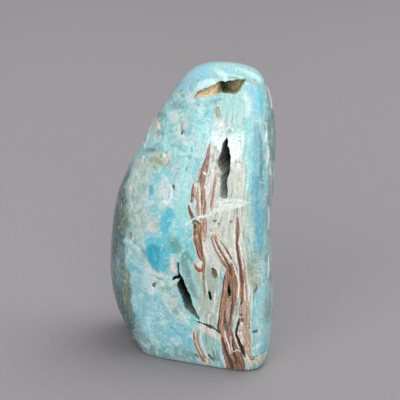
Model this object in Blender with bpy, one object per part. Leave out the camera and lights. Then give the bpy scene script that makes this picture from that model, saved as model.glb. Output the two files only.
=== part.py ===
"""Blue aragonite freeform: one free-standing piece of banded stone, ground to a leaning teardrop,
polished all over and sawn flat underneath, with the natural hollows and pits left open.

Metres, +Z up. The base lies on z = 0 and the middle of the stone's box is at x = 0, y = 0. The
broad face that holds the hollows looks along -Y, turned a little to -X.
"""

from collections import namedtuple
from math import atan2, cos, pi, radians, sin

import bmesh
import bpy
from mathutils import Vector, noise
from mathutils.bvhtree import BVHTree

MM = 0.001
UP = Vector((0.0, 0.0, 1.0))

# Outer form, in millimetres from the upright axis that the stone was drawn on: each section's
# height, then the two sides and the front and back of the box that holds it
Section = namedtuple("Section", "z left right front back")
SECTIONS = (
    Section(0.0, -19.2, 23.8, -16.2, 16.4),
    Section(0.9, -21.0, 25.2, -17.6, 18.2),
    Section(6.0, -23.9, 27.0, -18.8, 20.0),
    Section(20.0, -29.2, 28.4, -19.6, 21.0),
    Section(38.0, -29.6, 27.4, -19.0, 20.5),
    Section(55.0, -26.5, 27.2, -17.0, 19.0),
    Section(72.0, -19.2, 28.4, -14.0, 17.0),
    Section(86.0, -11.6, 28.2, -11.0, 14.5),
    Section(97.0, -4.6, 25.6, -8.0, 11.0),
    Section(102.8, 1.6, 21.4, -4.8, 7.5),
    Section(105.0, 11.0, 11.0, 1.0, 1.0),
)
HEIGHT = SECTIONS[-1].z
# The left side is round and the right side nearly square; the foot is squarer all round
ROUND_LEFT = 2.5
SQUARE_RIGHT = 3.6
SQUARE_FOOT = 2.6
FOOT_HEIGHT = 25.0
# How far the broad face swings back for each millimetre to the left, at the foot and at the top
SWING_FOOT = -0.40
SWING_TOP = -0.25
SWING_CENTRE = 4.0
# Slow waves that hand grinding leaves, as a share of the section's half width
WAVE_SHARE = 0.022
WAVE_LENGTH = 24.0

FACETS_AROUND = 76
RINGS_UP = 46
RINGS_UNDER = 2

# A hollow is drawn square on to the stone from one side: 0 is the front, 90 the right side, 180 the
# back. It follows a line of stations: millimetres to the right of the axis, up, and wide. The
# heading gives how far it runs to the right and up for each millimetre in, and the walls how wide
# it is, against its mouth, from the skin down to the floor.
Station = namedtuple("Station", "across up width")
Hollow = namedtuple("Hollow", "name side stations depth heading walls")
HOLLOWS = (
    Hollow(
        name="gash_trough",
        side=0,
        stations=(
            Station(0.5, 94.0, 0.6),
            Station(2.5, 95.5, 2.0),
            Station(5.5, 96.5, 2.8),
            Station(8.0, 97.5, 3.4),
            Station(10.0, 98.5, 3.6),
        ),
        depth=3.4,
        heading=(0.1, 0.25),
        walls=(1.0, 0.92, 0.6),
    ),
    Hollow(
        name="gash_hole",
        side=0,
        stations=(
            Station(10.5, 98.0, 2.8),
            Station(12.5, 98.5, 4.0),
            Station(14.0, 98.7, 4.0),
            Station(16.0, 100.0, 2.2),
            Station(17.5, 101.0, 0.6),
        ),
        depth=9.0,
        heading=(0.05, -0.12),
        walls=(1.0, 1.05, 0.95, 0.5),
    ),
    Hollow(
        name="slit",
        side=0,
        stations=(
            Station(11.5, 82.0, 0.4),
            Station(11.0, 79.5, 1.8),
            Station(11.0, 76.5, 3.4),
            Station(10.5, 73.5, 4.4),
            Station(11.0, 70.5, 2.6),
            Station(10.5, 68.0, 2.0),
            Station(10.5, 65.5, 2.4),
            Station(10.5, 63.0, 2.8),
        ),
        depth=10.0,
        heading=(0.42, 0.05),
        walls=(1.0, 1.12, 0.95, 0.45),
    ),
    Hollow(
        name="diagonal",
        side=0,
        stations=(
            Station(-5.0, 38.0, 0.4),
            Station(-5.0, 34.5, 0.9),
            Station(-4.0, 32.0, 1.6),
            Station(-4.0, 29.5, 3.2),
            Station(-2.5, 26.0, 3.4),
            Station(-1.5, 22.5, 3.2),
            Station(0.5, 20.0, 2.0),
            Station(2.0, 18.0, 0.6),
        ),
        depth=10.0,
        heading=(0.45, 0.18),
        walls=(1.0, 1.08, 0.95, 0.5),
    ),
    Hollow(
        name="diagonal_fork",
        side=0,
        stations=(Station(-7.0, 31.5, 0.4), Station(-6.0, 32.5, 1.1), Station(-4.5, 33.0, 1.4)),
        depth=4.0,
        heading=(0.4, 0.0),
        walls=(1.0, 0.85, 0.5),
    ),
    Hollow(
        name="foot_crevice",
        side=0,
        stations=(
            Station(16.0, 20.0, 0.4),
            Station(15.5, 17.5, 0.9),
            Station(15.0, 14.5, 0.7),
            Station(16.0, 11.5, 1.1),
            Station(17.0, 9.0, 1.5),
            Station(18.0, 6.0, 0.5),
        ),
        depth=2.6,
        heading=(0.0, 0.0),
        walls=(1.0, 0.8, 0.3),
    ),
    Hollow(
        name="foot_crack",
        side=0,
        stations=(
            Station(0.5, 17.5, 0.4),
            Station(4.5, 16.5, 0.6),
            Station(6.0, 16.0, 1.4),
            Station(7.5, 15.5, 0.6),
            Station(9.5, 14.0, 0.5),
        ),
        depth=1.8,
        heading=(0.0, 0.0),
        walls=(1.0, 0.8, 0.3),
    ),
    Hollow(
        name="back_slit",
        side=180,
        stations=(
            Station(6.5, 66.0, 0.5),
            Station(7.0, 61.0, 3.0),
            Station(7.0, 56.0, 3.6),
            Station(6.5, 52.0, 2.6),
            Station(7.0, 49.0, 0.8),
        ),
        depth=8.0,
        heading=(-0.35, 0.05),
        walls=(1.0, 1.1, 0.95, 0.45),
    ),
    Hollow(
        name="back_gash",
        side=180,
        stations=(
            Station(-12.5, 30.0, 0.8),
            Station(-8.5, 30.5, 3.2),
            Station(-3.5, 30.0, 3.4),
            Station(1.5, 28.5, 0.8),
        ),
        depth=5.0,
        heading=(0.1, 0.2),
        walls=(1.0, 1.05, 0.85, 0.4),
    ),
)
# How uneven the sides of a mouth are, as a share of its width
UNEVEN = 0.3

# Small pits: the side they are drawn from, their place to the right and up, length, width, the
# turn of their length from upright, and depth
Pit = namedtuple("Pit", "side across up length width turn depth")
PITS = (
    Pit(0, 6.0, 27.5, 3.8, 1.0, -12, 2.2),
    Pit(0, 12.5, 30.0, 4.4, 1.0, -6, 2.2),
    Pit(0, 7.5, 36.0, 3.4, 1.6, -24, 1.5),
    Pit(0, 11.5, 17.0, 2.2, 0.9, -30, 1.1),
    Pit(0, 6.5, 4.0, 3.2, 1.1, -44, 1.3),
    Pit(0, 1.5, 4.0, 2.2, 0.8, -44, 1.1),
    Pit(0, 0.5, 53.0, 1.6, 1.0, 40, 0.9),
    Pit(0, -6.5, 64.0, 1.8, 0.8, -20, 1.0),
    Pit(0, -13.5, 28.5, 1.8, 0.8, 20, 1.0),
    Pit(0, 21.5, 15.5, 1.8, 0.8, 80, 1.0),
    Pit(0, 21.5, 30.5, 2.6, 0.8, 20, 0.9),
    Pit(0, 21.0, 5.0, 1.6, 0.8, 80, 0.8),
    Pit(0, 8.5, 90.0, 3.8, 1.6, -8, 0.9),
    Pit(0, -3.5, 82.5, 1.6, 0.8, 20, 0.9),
    Pit(0, -12.0, 80.0, 2.0, 1.2, 10, 0.8),
    Pit(180, -15.0, 70.5, 4.0, 1.6, 20, 1.6),
    Pit(180, 15.5, 38.5, 3.4, 1.8, -26, 1.4),
    Pit(180, -1.5, 86.0, 3.0, 1.6, 64, 1.2),
    Pit(180, 18.0, 18.5, 2.8, 1.4, 12, 1.2),
    Pit(180, -15.5, 14.0, 3.6, 1.2, -40, 1.4),
    Pit(90, 2.5, 47.0, 3.6, 1.3, -8, 1.3),
    Pit(90, -6.5, 75.0, 2.6, 1.0, 10, 1.1),
    Pit(270, 5.0, 44.0, 3.2, 1.6, 18, 1.2),
    Pit(270, -4.0, 25.5, 2.6, 1.3, -22, 1.1),
)
# How wide a pit is near its ends, against its middle
PIT_TAPER = 0.8
# How far a cutter starts outside the skin, and how far its walls wander, as a share of its depth
LEAD = 1.6
ROUGHNESS = 0.07
ROUGH_SCALE = 350.0


def clear_scene():
    """Empties the file that Blender opened with."""
    for obj in list(bpy.data.objects):
        bpy.data.objects.remove(obj, do_unlink=True)


def collection(name):
    """A collection of this name in the scene."""
    made = bpy.data.collections.new(name)
    bpy.context.scene.collection.children.link(made)
    return made


def mesh_object(name, bm, home, parent):
    """Turns a bmesh into an object under the parent, and frees the bmesh."""
    mesh = bpy.data.meshes.new(name)
    bm.to_mesh(mesh)
    bm.free()
    obj = bpy.data.objects.new(name, mesh)
    obj.parent = parent
    home.objects.link(obj)
    return obj


def section_at(height_step):
    """The section at a step up the list, on a smooth curve through the sections; whole steps are
    the sections themselves."""
    low = min(int(height_step), len(SECTIONS) - 2)
    part = height_step - low
    last = SECTIONS[-2]
    over_the_top = Section(last.z, last.right, last.left, last.back, last.front)
    under_the_foot = [2.0 * a - b for a, b in zip(SECTIONS[0], SECTIONS[1])]
    rows = (under_the_foot,) + SECTIONS + (over_the_top,)
    values = []
    for before, start, end, after in zip(*rows[low:low + 4]):
        slope = end - before
        bend = 2.0 * before - 5.0 * start + 4.0 * end - after
        turn = 3.0 * start - before - 3.0 * end + after
        values.append(start + 0.5 * (slope * part + bend * part**2 + turn * part**3))
    return Section(*values)


def section_point(section, angle, reach):
    """A point of a section's outline, or nearer its middle where reach is under 1."""
    across, along = cos(angle), sin(angle)
    rightness = (1.0 + across) / 2.0
    foot = max(0.0, 1.0 - section.z / FOOT_HEIGHT) ** 1.5
    left_power = ROUND_LEFT + SQUARE_FOOT * foot
    power = left_power + (SQUARE_RIGHT - left_power) * rightness**2 * (3.0 - 2.0 * rightness)
    radius = reach * (abs(across) ** power + abs(along) ** power) ** (-1.0 / power)
    middle = Vector(((section.left + section.right) / 2.0, (section.front + section.back) / 2.0))
    half = Vector(((section.right - section.left) / 2.0, (section.back - section.front) / 2.0))
    spot = Vector((middle.x + half.x * across, middle.y + half.y * along, section.z))
    wave = 1.0 + WAVE_SHARE * noise.noise(spot / WAVE_LENGTH)
    x = middle.x + half.x * radius * across * wave
    y = middle.y + half.y * radius * along * wave
    swing = SWING_FOOT + (SWING_TOP - SWING_FOOT) * section.z / HEIGHT
    return Vector((x, y + swing * (x - SWING_CENTRE), section.z)) * MM


def stone_skin():
    """A sphere drawn onto the sections, its lowest rings laid flat as the sawn base."""
    bm = bmesh.new()
    bmesh.ops.create_uvsphere(bm, u_segments=FACETS_AROUND, v_segments=RINGS_UP, radius=1.0)
    for vert in bm.verts:
        rise = atan2(vert.co.xy.length, -vert.co.z) / pi * RINGS_UP
        angle = atan2(vert.co.y, vert.co.x)
        climb = max(0.0, rise - RINGS_UNDER) / (RINGS_UP - RINGS_UNDER)
        section = section_at(climb * (len(SECTIONS) - 1))
        reach = min(1.0, rise / RINGS_UNDER)
        vert.co = section_point(section, angle, reach)
        if rise < RINGS_UNDER + 0.5:
            vert.co.z = 0.0
    bmesh.ops.recalc_face_normals(bm, faces=bm.faces)
    return bm


def side_axes(side):
    """Right and inward, as someone sees them who stands at this side of the stone."""
    turn = radians(side)
    return Vector((cos(turn), sin(turn), 0.0)), Vector((-sin(turn), cos(turn), 0.0))


def loft(rings):
    """A closed cutter through rings of points, each as long as the next."""
    bm = bmesh.new()
    rows = [[bm.verts.new(point) for point in ring] for ring in rings]
    count = len(rows[0])
    for near, far in zip(rows, rows[1:]):
        for i in range(count):
            bm.faces.new((near[i], near[(i + 1) % count], far[(i + 1) % count], far[i]))
    bm.faces.new(rows[0])
    bm.faces.new(rows[-1])
    bmesh.ops.recalc_face_normals(bm, faces=bm.faces)
    return bm


def mouth_outline(stations):
    """Down the left of the line of stations and back up its right, with a point at each end."""
    places = [Vector((station.across, station.up)) for station in stations]
    left, right = [], []
    for index, (place, station) in enumerate(zip(places, stations)):
        way = (places[min(index + 1, len(places) - 1)] - places[max(index - 1, 0)]).normalized()
        aside = Vector((way.y, -way.x)) * station.width / 2.0
        left.append(place - aside * (1.0 + UNEVEN * noise.noise(Vector((place.x, place.y, 0.5)))))
        right.append(place + aside * (1.0 + UNEVEN * noise.noise(Vector((place.x, place.y, 9.5)))))
    first = (places[0] - places[1]).normalized() * stations[0].width / 2.0
    last = (places[-1] - places[-2]).normalized() * stations[-1].width / 2.0
    return [places[0] + first] + left + [places[-1] + last] + right[::-1]


def hollow_cutter(hollow, skin):
    """A cutter whose mouth follows the skin, and whose walls close in on a rough floor."""
    right, inward = side_axes(hollow.side)
    mouth = []
    for across, up in mouth_outline(hollow.stations):
        start = right * across * MM + UP * up * MM - inward * HEIGHT * MM
        mouth.append(skin.ray_cast(start, inward)[0])
    middle = sum(mouth, Vector()) / len(mouth)
    long_way = max((point - middle for point in mouth), key=lambda way: way.length).normalized()
    heading = (inward + right * hollow.heading[0] + UP * hollow.heading[1]) * hollow.depth * MM
    rings = [[point - inward * LEAD * MM for point in mouth]]
    for step, width in enumerate(hollow.walls):
        share = step / (len(hollow.walls) - 1)
        ring = []
        for point in mouth:
            way = point - middle
            length = long_way * way.dot(long_way)
            narrowed = length * (1.0 + width) / 2.0 + (way - length) * width
            rough = noise.noise_vector(point * ROUGH_SCALE + UP * step) * ROUGHNESS * share
            ring.append(middle + narrowed + rough * hollow.depth * MM + heading * share)
        rings.append(ring)
    return loft(rings)


def pit_hollow(index, pit):
    """A small pit as a short hollow, widest in the middle."""
    turn = radians(pit.turn)
    stations = []
    for share, width in ((0.35, PIT_TAPER), (0.0, 1.0), (-0.35, PIT_TAPER)):
        across = pit.across + share * pit.length * sin(turn)
        up = pit.up + share * pit.length * cos(turn)
        stations.append(Station(across, up, pit.width * width))
    return Hollow(f"pit_{index:02d}", pit.side, stations, pit.depth, (0.0, 0.0), (1.0, 0.85, 0.35))


def polished_stone():
    """The finish: turquoise stone with a high polish."""
    material = bpy.data.materials.new("polished_aragonite")
    material.use_nodes = True
    shader = material.node_tree.nodes["Principled BSDF"]
    shader.inputs["Base Color"].default_value = (0.22, 0.50, 0.54, 1.0)
    shader.inputs["Roughness"].default_value = 0.15
    shader.inputs["Metallic"].default_value = 0.0
    return material


def build():
    """The stone with its hollows cut, its box centred over the origin."""
    clear_scene()
    parts = collection("blue_aragonite")
    cutters = collection("hollow_cutters")
    cutters.hide_render = True

    skin = stone_skin()
    tree = BVHTree.FromBMesh(skin)
    low = Vector(min(v.co[i] for v in skin.verts) for i in range(3))
    high = Vector(max(v.co[i] for v in skin.verts) for i in range(3))
    axis = bpy.data.objects.new("stone_axis", None)
    axis.location = (-(low.x + high.x) / 2.0, -(low.y + high.y) / 2.0, 0.0)
    parts.objects.link(axis)

    stone = mesh_object("stone", skin, parts, axis)
    stone.data.materials.append(polished_stone())
    for hollow in list(HOLLOWS) + [pit_hollow(i, pit) for i, pit in enumerate(PITS)]:
        cutter = mesh_object(hollow.name, hollow_cutter(hollow, tree), cutters, axis)
        cutter.hide_render = True
        cutter.display_type = "WIRE"
    cut = stone.modifiers.new("hollows", "BOOLEAN")
    cut.operation = "DIFFERENCE"
    cut.operand_type = "COLLECTION"
    cut.collection = cutters
    cut.solver = "EXACT"
    stone.data.shade_smooth()
    stone.data.set_sharp_from_angle(angle=radians(35.0))


build()
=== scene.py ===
"""Blue aragonite freeform: a polished stone that stands on its own sawn base."""
from math import cos, pi, radians, sin

import bmesh
import bpy
import numpy as np
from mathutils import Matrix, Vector, noise


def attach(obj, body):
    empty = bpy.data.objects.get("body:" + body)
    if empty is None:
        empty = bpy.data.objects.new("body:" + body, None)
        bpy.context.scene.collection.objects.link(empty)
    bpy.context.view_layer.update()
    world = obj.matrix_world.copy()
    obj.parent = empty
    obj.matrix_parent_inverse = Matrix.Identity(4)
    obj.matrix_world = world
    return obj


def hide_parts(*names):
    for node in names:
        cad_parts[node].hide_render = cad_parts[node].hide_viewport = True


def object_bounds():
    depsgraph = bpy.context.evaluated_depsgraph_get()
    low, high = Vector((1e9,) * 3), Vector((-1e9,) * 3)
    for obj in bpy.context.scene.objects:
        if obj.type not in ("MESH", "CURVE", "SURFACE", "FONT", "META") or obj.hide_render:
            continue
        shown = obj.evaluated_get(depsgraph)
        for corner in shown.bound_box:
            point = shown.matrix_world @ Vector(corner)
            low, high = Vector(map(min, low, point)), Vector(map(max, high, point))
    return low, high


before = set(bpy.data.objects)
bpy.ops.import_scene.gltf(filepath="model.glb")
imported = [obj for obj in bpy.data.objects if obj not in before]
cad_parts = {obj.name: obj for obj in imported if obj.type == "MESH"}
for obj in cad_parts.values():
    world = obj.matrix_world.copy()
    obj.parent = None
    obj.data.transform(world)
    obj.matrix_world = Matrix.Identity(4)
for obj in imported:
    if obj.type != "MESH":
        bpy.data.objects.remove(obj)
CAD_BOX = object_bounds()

MM = 0.001
# The vector noise starts anew by the clock on each run unless it is given a seed
NOISE_SEED = 7
noise.seed_set(NOISE_SEED)


# The view: from the front, looking down a little, with the stone a little over three quarters of
# the picture's height.
VIEW_HEIGHT_ANGLE = radians(18.0)
VIEW_DISTANCE = 550.0 * MM
PICTURE_WIDTH = 140.0 * MM
SENSOR = 36.0
LOOK_AT = Vector((3.3, -1.8, 55.5)) * MM

camera_data = bpy.data.cameras.new("view")
camera_data.sensor_width = SENSOR
camera_data.lens = SENSOR * VIEW_DISTANCE / PICTURE_WIDTH
camera_data.clip_start = 10.0 * MM
camera = bpy.data.objects.new("view", camera_data)
view_back = Vector((0.0, -cos(VIEW_HEIGHT_ANGLE), sin(VIEW_HEIGHT_ANGLE)))
camera.location = LOOK_AT + view_back * VIEW_DISTANCE
camera.rotation_euler = (pi / 2.0 - VIEW_HEIGHT_ANGLE, 0.0, 0.0)
bpy.context.scene.collection.objects.link(camera)
bpy.context.scene.camera = camera


# The stone as it was ground: one lump of banded aragonite, shaped on a wheel to a leaning
# teardrop with a broad face, a round left end and a square right edge, and sawn flat underneath.
# Each row is a section: its height, its left and right sides, its front and its back.
SECTIONS = np.array([
    (0.0, -19.2, 23.8, -16.2, 16.4),
    (0.9, -21.0, 25.2, -17.6, 18.2),
    (6.0, -23.9, 27.0, -18.8, 20.0),
    (20.0, -29.2, 28.4, -19.6, 21.0),
    (38.0, -29.6, 27.4, -19.0, 20.5),
    (55.0, -26.5, 27.2, -17.0, 19.0),
    (72.0, -19.2, 28.4, -14.0, 17.0),
    (86.0, -11.6, 28.2, -11.0, 14.5),
    (97.0, -4.6, 25.6, -8.0, 11.0),
    (102.8, 1.6, 21.4, -4.8, 7.5),
    (105.0, 11.0, 11.0, 1.0, 1.0),
])
LAST_STEP = len(SECTIONS) - 1
HEIGHT = SECTIONS[-1, 0]
ROUND_LEFT = 2.5
SQUARE_RIGHT = 3.6
SQUARE_FOOT = 2.6
FOOT_HEIGHT = 25.0
SWING_FOOT = -0.40
SWING_TOP = -0.25
SWING_CENTRE = 4.0
WAVE_SHARE = 0.022
WAVE_LENGTH = 24.0
COLUMNS = 260
ROWS = 184
ROWS_UNDER = 3
FRONT_FINENESS = 0.28


def sections_at(step):
    """Sections on a smooth curve through the list; whole steps are the sections themselves."""
    over_the_top = SECTIONS[-2][[0, 2, 1, 4, 3]]
    rows = np.vstack([2.0 * SECTIONS[0] - SECTIONS[1], SECTIONS, over_the_top])
    low = np.clip(step.astype(int), 0, LAST_STEP - 1)
    part = (step - low)[:, None]
    before, start, end, after = rows[low], rows[low + 1], rows[low + 2], rows[low + 3]
    slope = end - before
    bend = 2.0 * before - 5.0 * start + 4.0 * end - after
    turn = 3.0 * start - before - 3.0 * end + after
    return start + 0.5 * (slope * part + bend * part**2 + turn * part**3)


def noise_at(points, scale):
    """Smooth noise from about -1 to 1 at each point, with lumps of about the scale's size; a
    number added to the points gives another noise."""
    return np.array([noise.noise(Vector(p)) for p in points / scale])


def noise_vectors(points, scale):
    """Three smooth noises at each point."""
    return np.array([noise.noise_vector(Vector(p)) for p in points / scale])


def section_points(step, angle, reach, waves=True):
    """Points on the outlines of sections, or nearer their middles where reach is under 1."""
    z, left, right, front, back = sections_at(step).T
    across, along = np.cos(angle), np.sin(angle)
    rightness = (1.0 + across) / 2.0
    foot = np.clip(1.0 - z / FOOT_HEIGHT, 0.0, None) ** 1.5
    left_power = ROUND_LEFT + SQUARE_FOOT * foot
    power = left_power + (SQUARE_RIGHT - left_power) * rightness**2 * (3.0 - 2.0 * rightness)
    radius = reach * (np.abs(across) ** power + np.abs(along) ** power) ** (-1.0 / power)
    middle_x, middle_y = (left + right) / 2.0, (front + back) / 2.0
    half_x, half_y = (right - left) / 2.0 * across, (back - front) / 2.0 * along
    if waves:
        spots = np.stack([middle_x + half_x, middle_y + half_y, z], 1)
        radius = radius * (1.0 + WAVE_SHARE * noise_at(spots, WAVE_LENGTH))
    x = middle_x + half_x * radius
    y = middle_y + half_y * radius
    swing = SWING_FOOT + (SWING_TOP - SWING_FOOT) * z / HEIGHT
    return np.stack([x, y + swing * (x - SWING_CENTRE), z], 1)


fine_steps = np.linspace(0.0, LAST_STEP, 2001)
fine_sections = sections_at(fine_steps)
moves = np.diff(fine_sections, axis=0)
travel = np.sqrt(moves[:, 0] ** 2 + (moves[:, 1:] ** 2).mean(1))
travel = np.concatenate([[0.0], np.cumsum(travel)])


def skin_places(directions):
    """Where each direction of a unit ball lies on the stone: section step, angle and reach."""
    x, y, z = directions.T
    rise = np.arctan2(np.hypot(x, y), -z) / pi * ROWS
    climb = np.clip(rise - ROWS_UNDER, 0.0, None) / (ROWS - ROWS_UNDER)
    step = np.interp(climb * travel[-1], travel, fine_steps)
    angle = np.arctan2(y, x)
    angle = angle - FRONT_FINENESS * np.cos(angle)
    return step, angle, np.minimum(1.0, rise / ROWS_UNDER)


# The ball's faces are made in another order on each run, and the pores are drawn face by face, so
# the faces are sorted first
ball_bm = bmesh.new()
bmesh.ops.create_uvsphere(ball_bm, u_segments=COLUMNS, v_segments=ROWS, radius=1.0)
ball_places = [v.co.copy() for v in ball_bm.verts]
ball_faces = []
for face in ball_bm.faces:
    corners = [v.index for v in face.verts]
    first = corners.index(min(corners))
    ball_faces.append(corners[first:] + corners[:first])
ball_bm.free()
ball_mesh = bpy.data.meshes.new("ball")
ball_mesh.from_pydata(ball_places, [], sorted(ball_faces))
stone_bm = bmesh.new()
stone_bm.from_mesh(ball_mesh)
bpy.data.meshes.remove(ball_mesh)


def ball_directions(bm):
    """The ball's vertices, pushed back to radius 1."""
    flat = np.array([v.co for v in bm.verts])
    return flat / np.linalg.norm(flat, axis=1)[:, None]


# The natural hollows: gaps that were open in the rock, cut through by the grinding. Each is
# carved inward from its mouth, drawn square on from one side of the stone, with rough walls.
def side_axes(side):
    """Right and inward, as seen from a side of the stone: 0 is the front, 90 the right."""
    turn = radians(side)
    return np.array([cos(turn), sin(turn), 0.0]), np.array([-sin(turn), cos(turn), 0.0])


def smooth_line(stations, steps=4):
    """The stations with more between them, on a smooth curve."""
    rows = np.array(stations, float)
    if len(rows) < 3:
        return rows
    rows = np.vstack([2.0 * rows[0] - rows[1], rows, 2.0 * rows[-1] - rows[-2]])
    curve = []
    for before, start, end, after in zip(rows, rows[1:], rows[2:], rows[3:]):
        for part in np.arange(steps) / steps:
            bend = 2.0 * before - 5.0 * start + 4.0 * end - after
            turn = 3.0 * start - before - 3.0 * end + after
            curve.append(start + 0.5 * ((end - before) * part + bend * part**2 + turn * part**3))
    return np.array(curve + [rows[-2]])


FAR_MM = 4.0


def stroke_distance(spots, stations, reach=FAR_MM):
    """Signed distance from a stroke through stations (across, up, width), below zero inside it;
    no spot gets more than the reach."""
    line = smooth_line(stations)
    middle, half = line[:, :2], np.maximum(line[:, 2], 0.05) / 2.0
    margin = reach + half.max()
    near = ((spots > middle.min(0) - margin) & (spots < middle.max(0) + margin)).all(1)
    close = spots[near]
    nearest = np.full(len(close), reach)
    for a, b, half_a, half_b in zip(middle, middle[1:], half, half[1:]):
        way = b - a
        share = np.clip(((close - a) @ way) / max(way @ way, 1e-9), 0.0, 1.0)
        gap = np.hypot(*(close - a - share[:, None] * way).T)
        nearest = np.minimum(nearest, gap - half_a - (half_b - half_a) * share)
    distance = np.full(len(spots), reach)
    distance[near] = nearest
    return distance


# Each hollow: the side it is drawn from, its depth, how far it runs to the right and up for each
# millimetre in, how far from its mouth's edge the walls go down, and its stations
HOLLOWS = {
    "gash_trough": (0, 3.0, (0.1, 0.25), 1.7, (
        (0.5, 94.0, 0.6), (2.5, 95.5, 2.0), (5.5, 96.5, 2.8), (8.0, 97.5, 3.4), (10.0, 98.5, 3.6))),
    "gash_hole": (0, 8.0, (0.05, -0.12), 0.9, (
        (10.5, 98.0, 2.8), (12.5, 98.5, 4.0), (14.0, 98.7, 4.0), (16.0, 100.0, 2.2),
        (17.5, 101.0, 0.6))),
    "slit": (0, 9.5, (0.42, 0.05), 1.1, (
        (11.5, 82.0, 0.4), (11.0, 79.5, 1.8), (11.0, 76.5, 3.4), (10.5, 73.5, 4.4),
        (11.0, 70.5, 2.6), (10.5, 68.0, 2.0), (10.5, 65.5, 2.4), (10.5, 63.0, 2.8))),
    "diagonal": (0, 9.5, (0.45, 0.18), 1.1, (
        (-5.0, 38.0, 0.4), (-5.0, 34.5, 0.9), (-4.0, 32.0, 1.6), (-4.0, 29.5, 3.2),
        (-2.5, 26.0, 3.4), (-1.5, 22.5, 3.2), (0.5, 20.0, 2.0), (2.0, 18.0, 0.6))),
    "diagonal_fork": (0, 4.0, (0.4, 0.0), 0.6, (
        (-7.0, 31.5, 0.4), (-6.0, 32.5, 1.1), (-4.5, 33.0, 1.4))),
    "foot_crevice": (0, 2.4, (0.0, 0.0), 0.5, (
        (16.0, 20.0, 0.4), (15.5, 17.5, 0.9), (15.0, 14.5, 0.7), (16.0, 11.5, 1.1),
        (17.0, 9.0, 1.5), (18.0, 6.0, 0.5))),
    "foot_crack": (0, 1.7, (0.0, 0.0), 0.4, (
        (0.5, 17.5, 0.4), (4.5, 16.5, 0.6), (6.0, 16.0, 1.4), (7.5, 15.5, 0.6), (9.5, 14.0, 0.5))),
    "back_slit": (180, 7.5, (-0.35, 0.05), 1.1, (
        (6.5, 66.0, 0.5), (7.0, 61.0, 3.0), (7.0, 56.0, 3.6), (6.5, 52.0, 2.6), (7.0, 49.0, 0.8))),
    "back_gash": (180, 4.6, (0.1, 0.2), 1.3, (
        (-12.5, 30.0, 0.8), (-8.5, 30.5, 3.2), (-3.5, 30.0, 3.4), (1.5, 28.5, 0.8))),
}
# Each pit: its side, its place to the right and up, length, width, turn from upright, and depth
PITS = (
    (0, 6.0, 27.5, 3.8, 1.0, -12, 2.2),
    (0, 12.5, 30.0, 4.4, 1.0, -6, 2.2),
    (0, 7.5, 36.0, 3.4, 1.6, -24, 1.5),
    (0, 11.5, 17.0, 2.2, 0.9, -30, 1.1),
    (0, 6.5, 4.0, 3.2, 1.1, -44, 1.3),
    (0, 1.5, 4.0, 2.2, 0.8, -44, 1.1),
    (0, 0.5, 53.0, 1.6, 1.0, 40, 0.9),
    (0, -6.5, 64.0, 1.8, 0.8, -20, 1.0),
    (0, -13.5, 28.5, 1.8, 0.8, 20, 1.0),
    (0, 21.5, 15.5, 1.8, 0.8, 80, 1.0),
    (0, 21.5, 30.5, 2.6, 0.8, 20, 0.9),
    (0, 21.0, 5.0, 1.6, 0.8, 80, 0.8),
    (0, 8.5, 90.0, 3.8, 1.6, -8, 0.9),
    (0, -3.5, 82.5, 1.6, 0.8, 20, 0.9),
    (0, -12.0, 80.0, 2.0, 1.2, 10, 0.8),
    (180, -15.0, 70.5, 4.0, 1.6, 20, 1.6),
    (180, 15.5, 38.5, 3.4, 1.8, -26, 1.4),
    (180, -1.5, 86.0, 3.0, 1.6, 64, 1.2),
    (180, 18.0, 18.5, 2.8, 1.4, 12, 1.2),
    (180, -15.5, 14.0, 3.6, 1.2, -40, 1.4),
    (90, 2.5, 47.0, 3.6, 1.3, -8, 1.3),
    (90, -6.5, 75.0, 2.6, 1.0, 10, 1.1),
    (270, 5.0, 44.0, 3.2, 1.6, 18, 1.2),
    (270, -4.0, 25.5, 2.6, 1.3, -22, 1.1),
)
PIT_TAPER = 0.8

hollows = dict(HOLLOWS)
for index, (side, across, up, length, width, turn, depth) in enumerate(PITS):
    slant, rise = sin(radians(turn)), cos(radians(turn))
    stations = [(across + share * length * slant, up + share * length * rise, width * wide)
                for share, wide in ((0.35, PIT_TAPER), (0.0, 1.0), (-0.35, PIT_TAPER))]
    hollows[f"pit_{index:02d}"] = (side, depth, (0.0, 0.0), width * 0.45, stations)


FACING = -0.15


def mouth_distances(points, outward, side, stations):
    """Distance of each point from a hollow's mouth; far where it isn't on that side."""
    right, inward = side_axes(side)
    distance = stroke_distance(np.stack([points @ right, points[:, 2]], 1), stations)
    return np.where(outward @ inward < FACING, distance, FAR_MM)


def outward_normals(bm, points):
    """Unit normals of the skin's vertices, with the ball's vertices put at their places."""
    for vert, point in zip(bm.verts, points):
        vert.co = point
    bm.normal_update()
    return np.array([v.normal for v in bm.verts])


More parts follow.
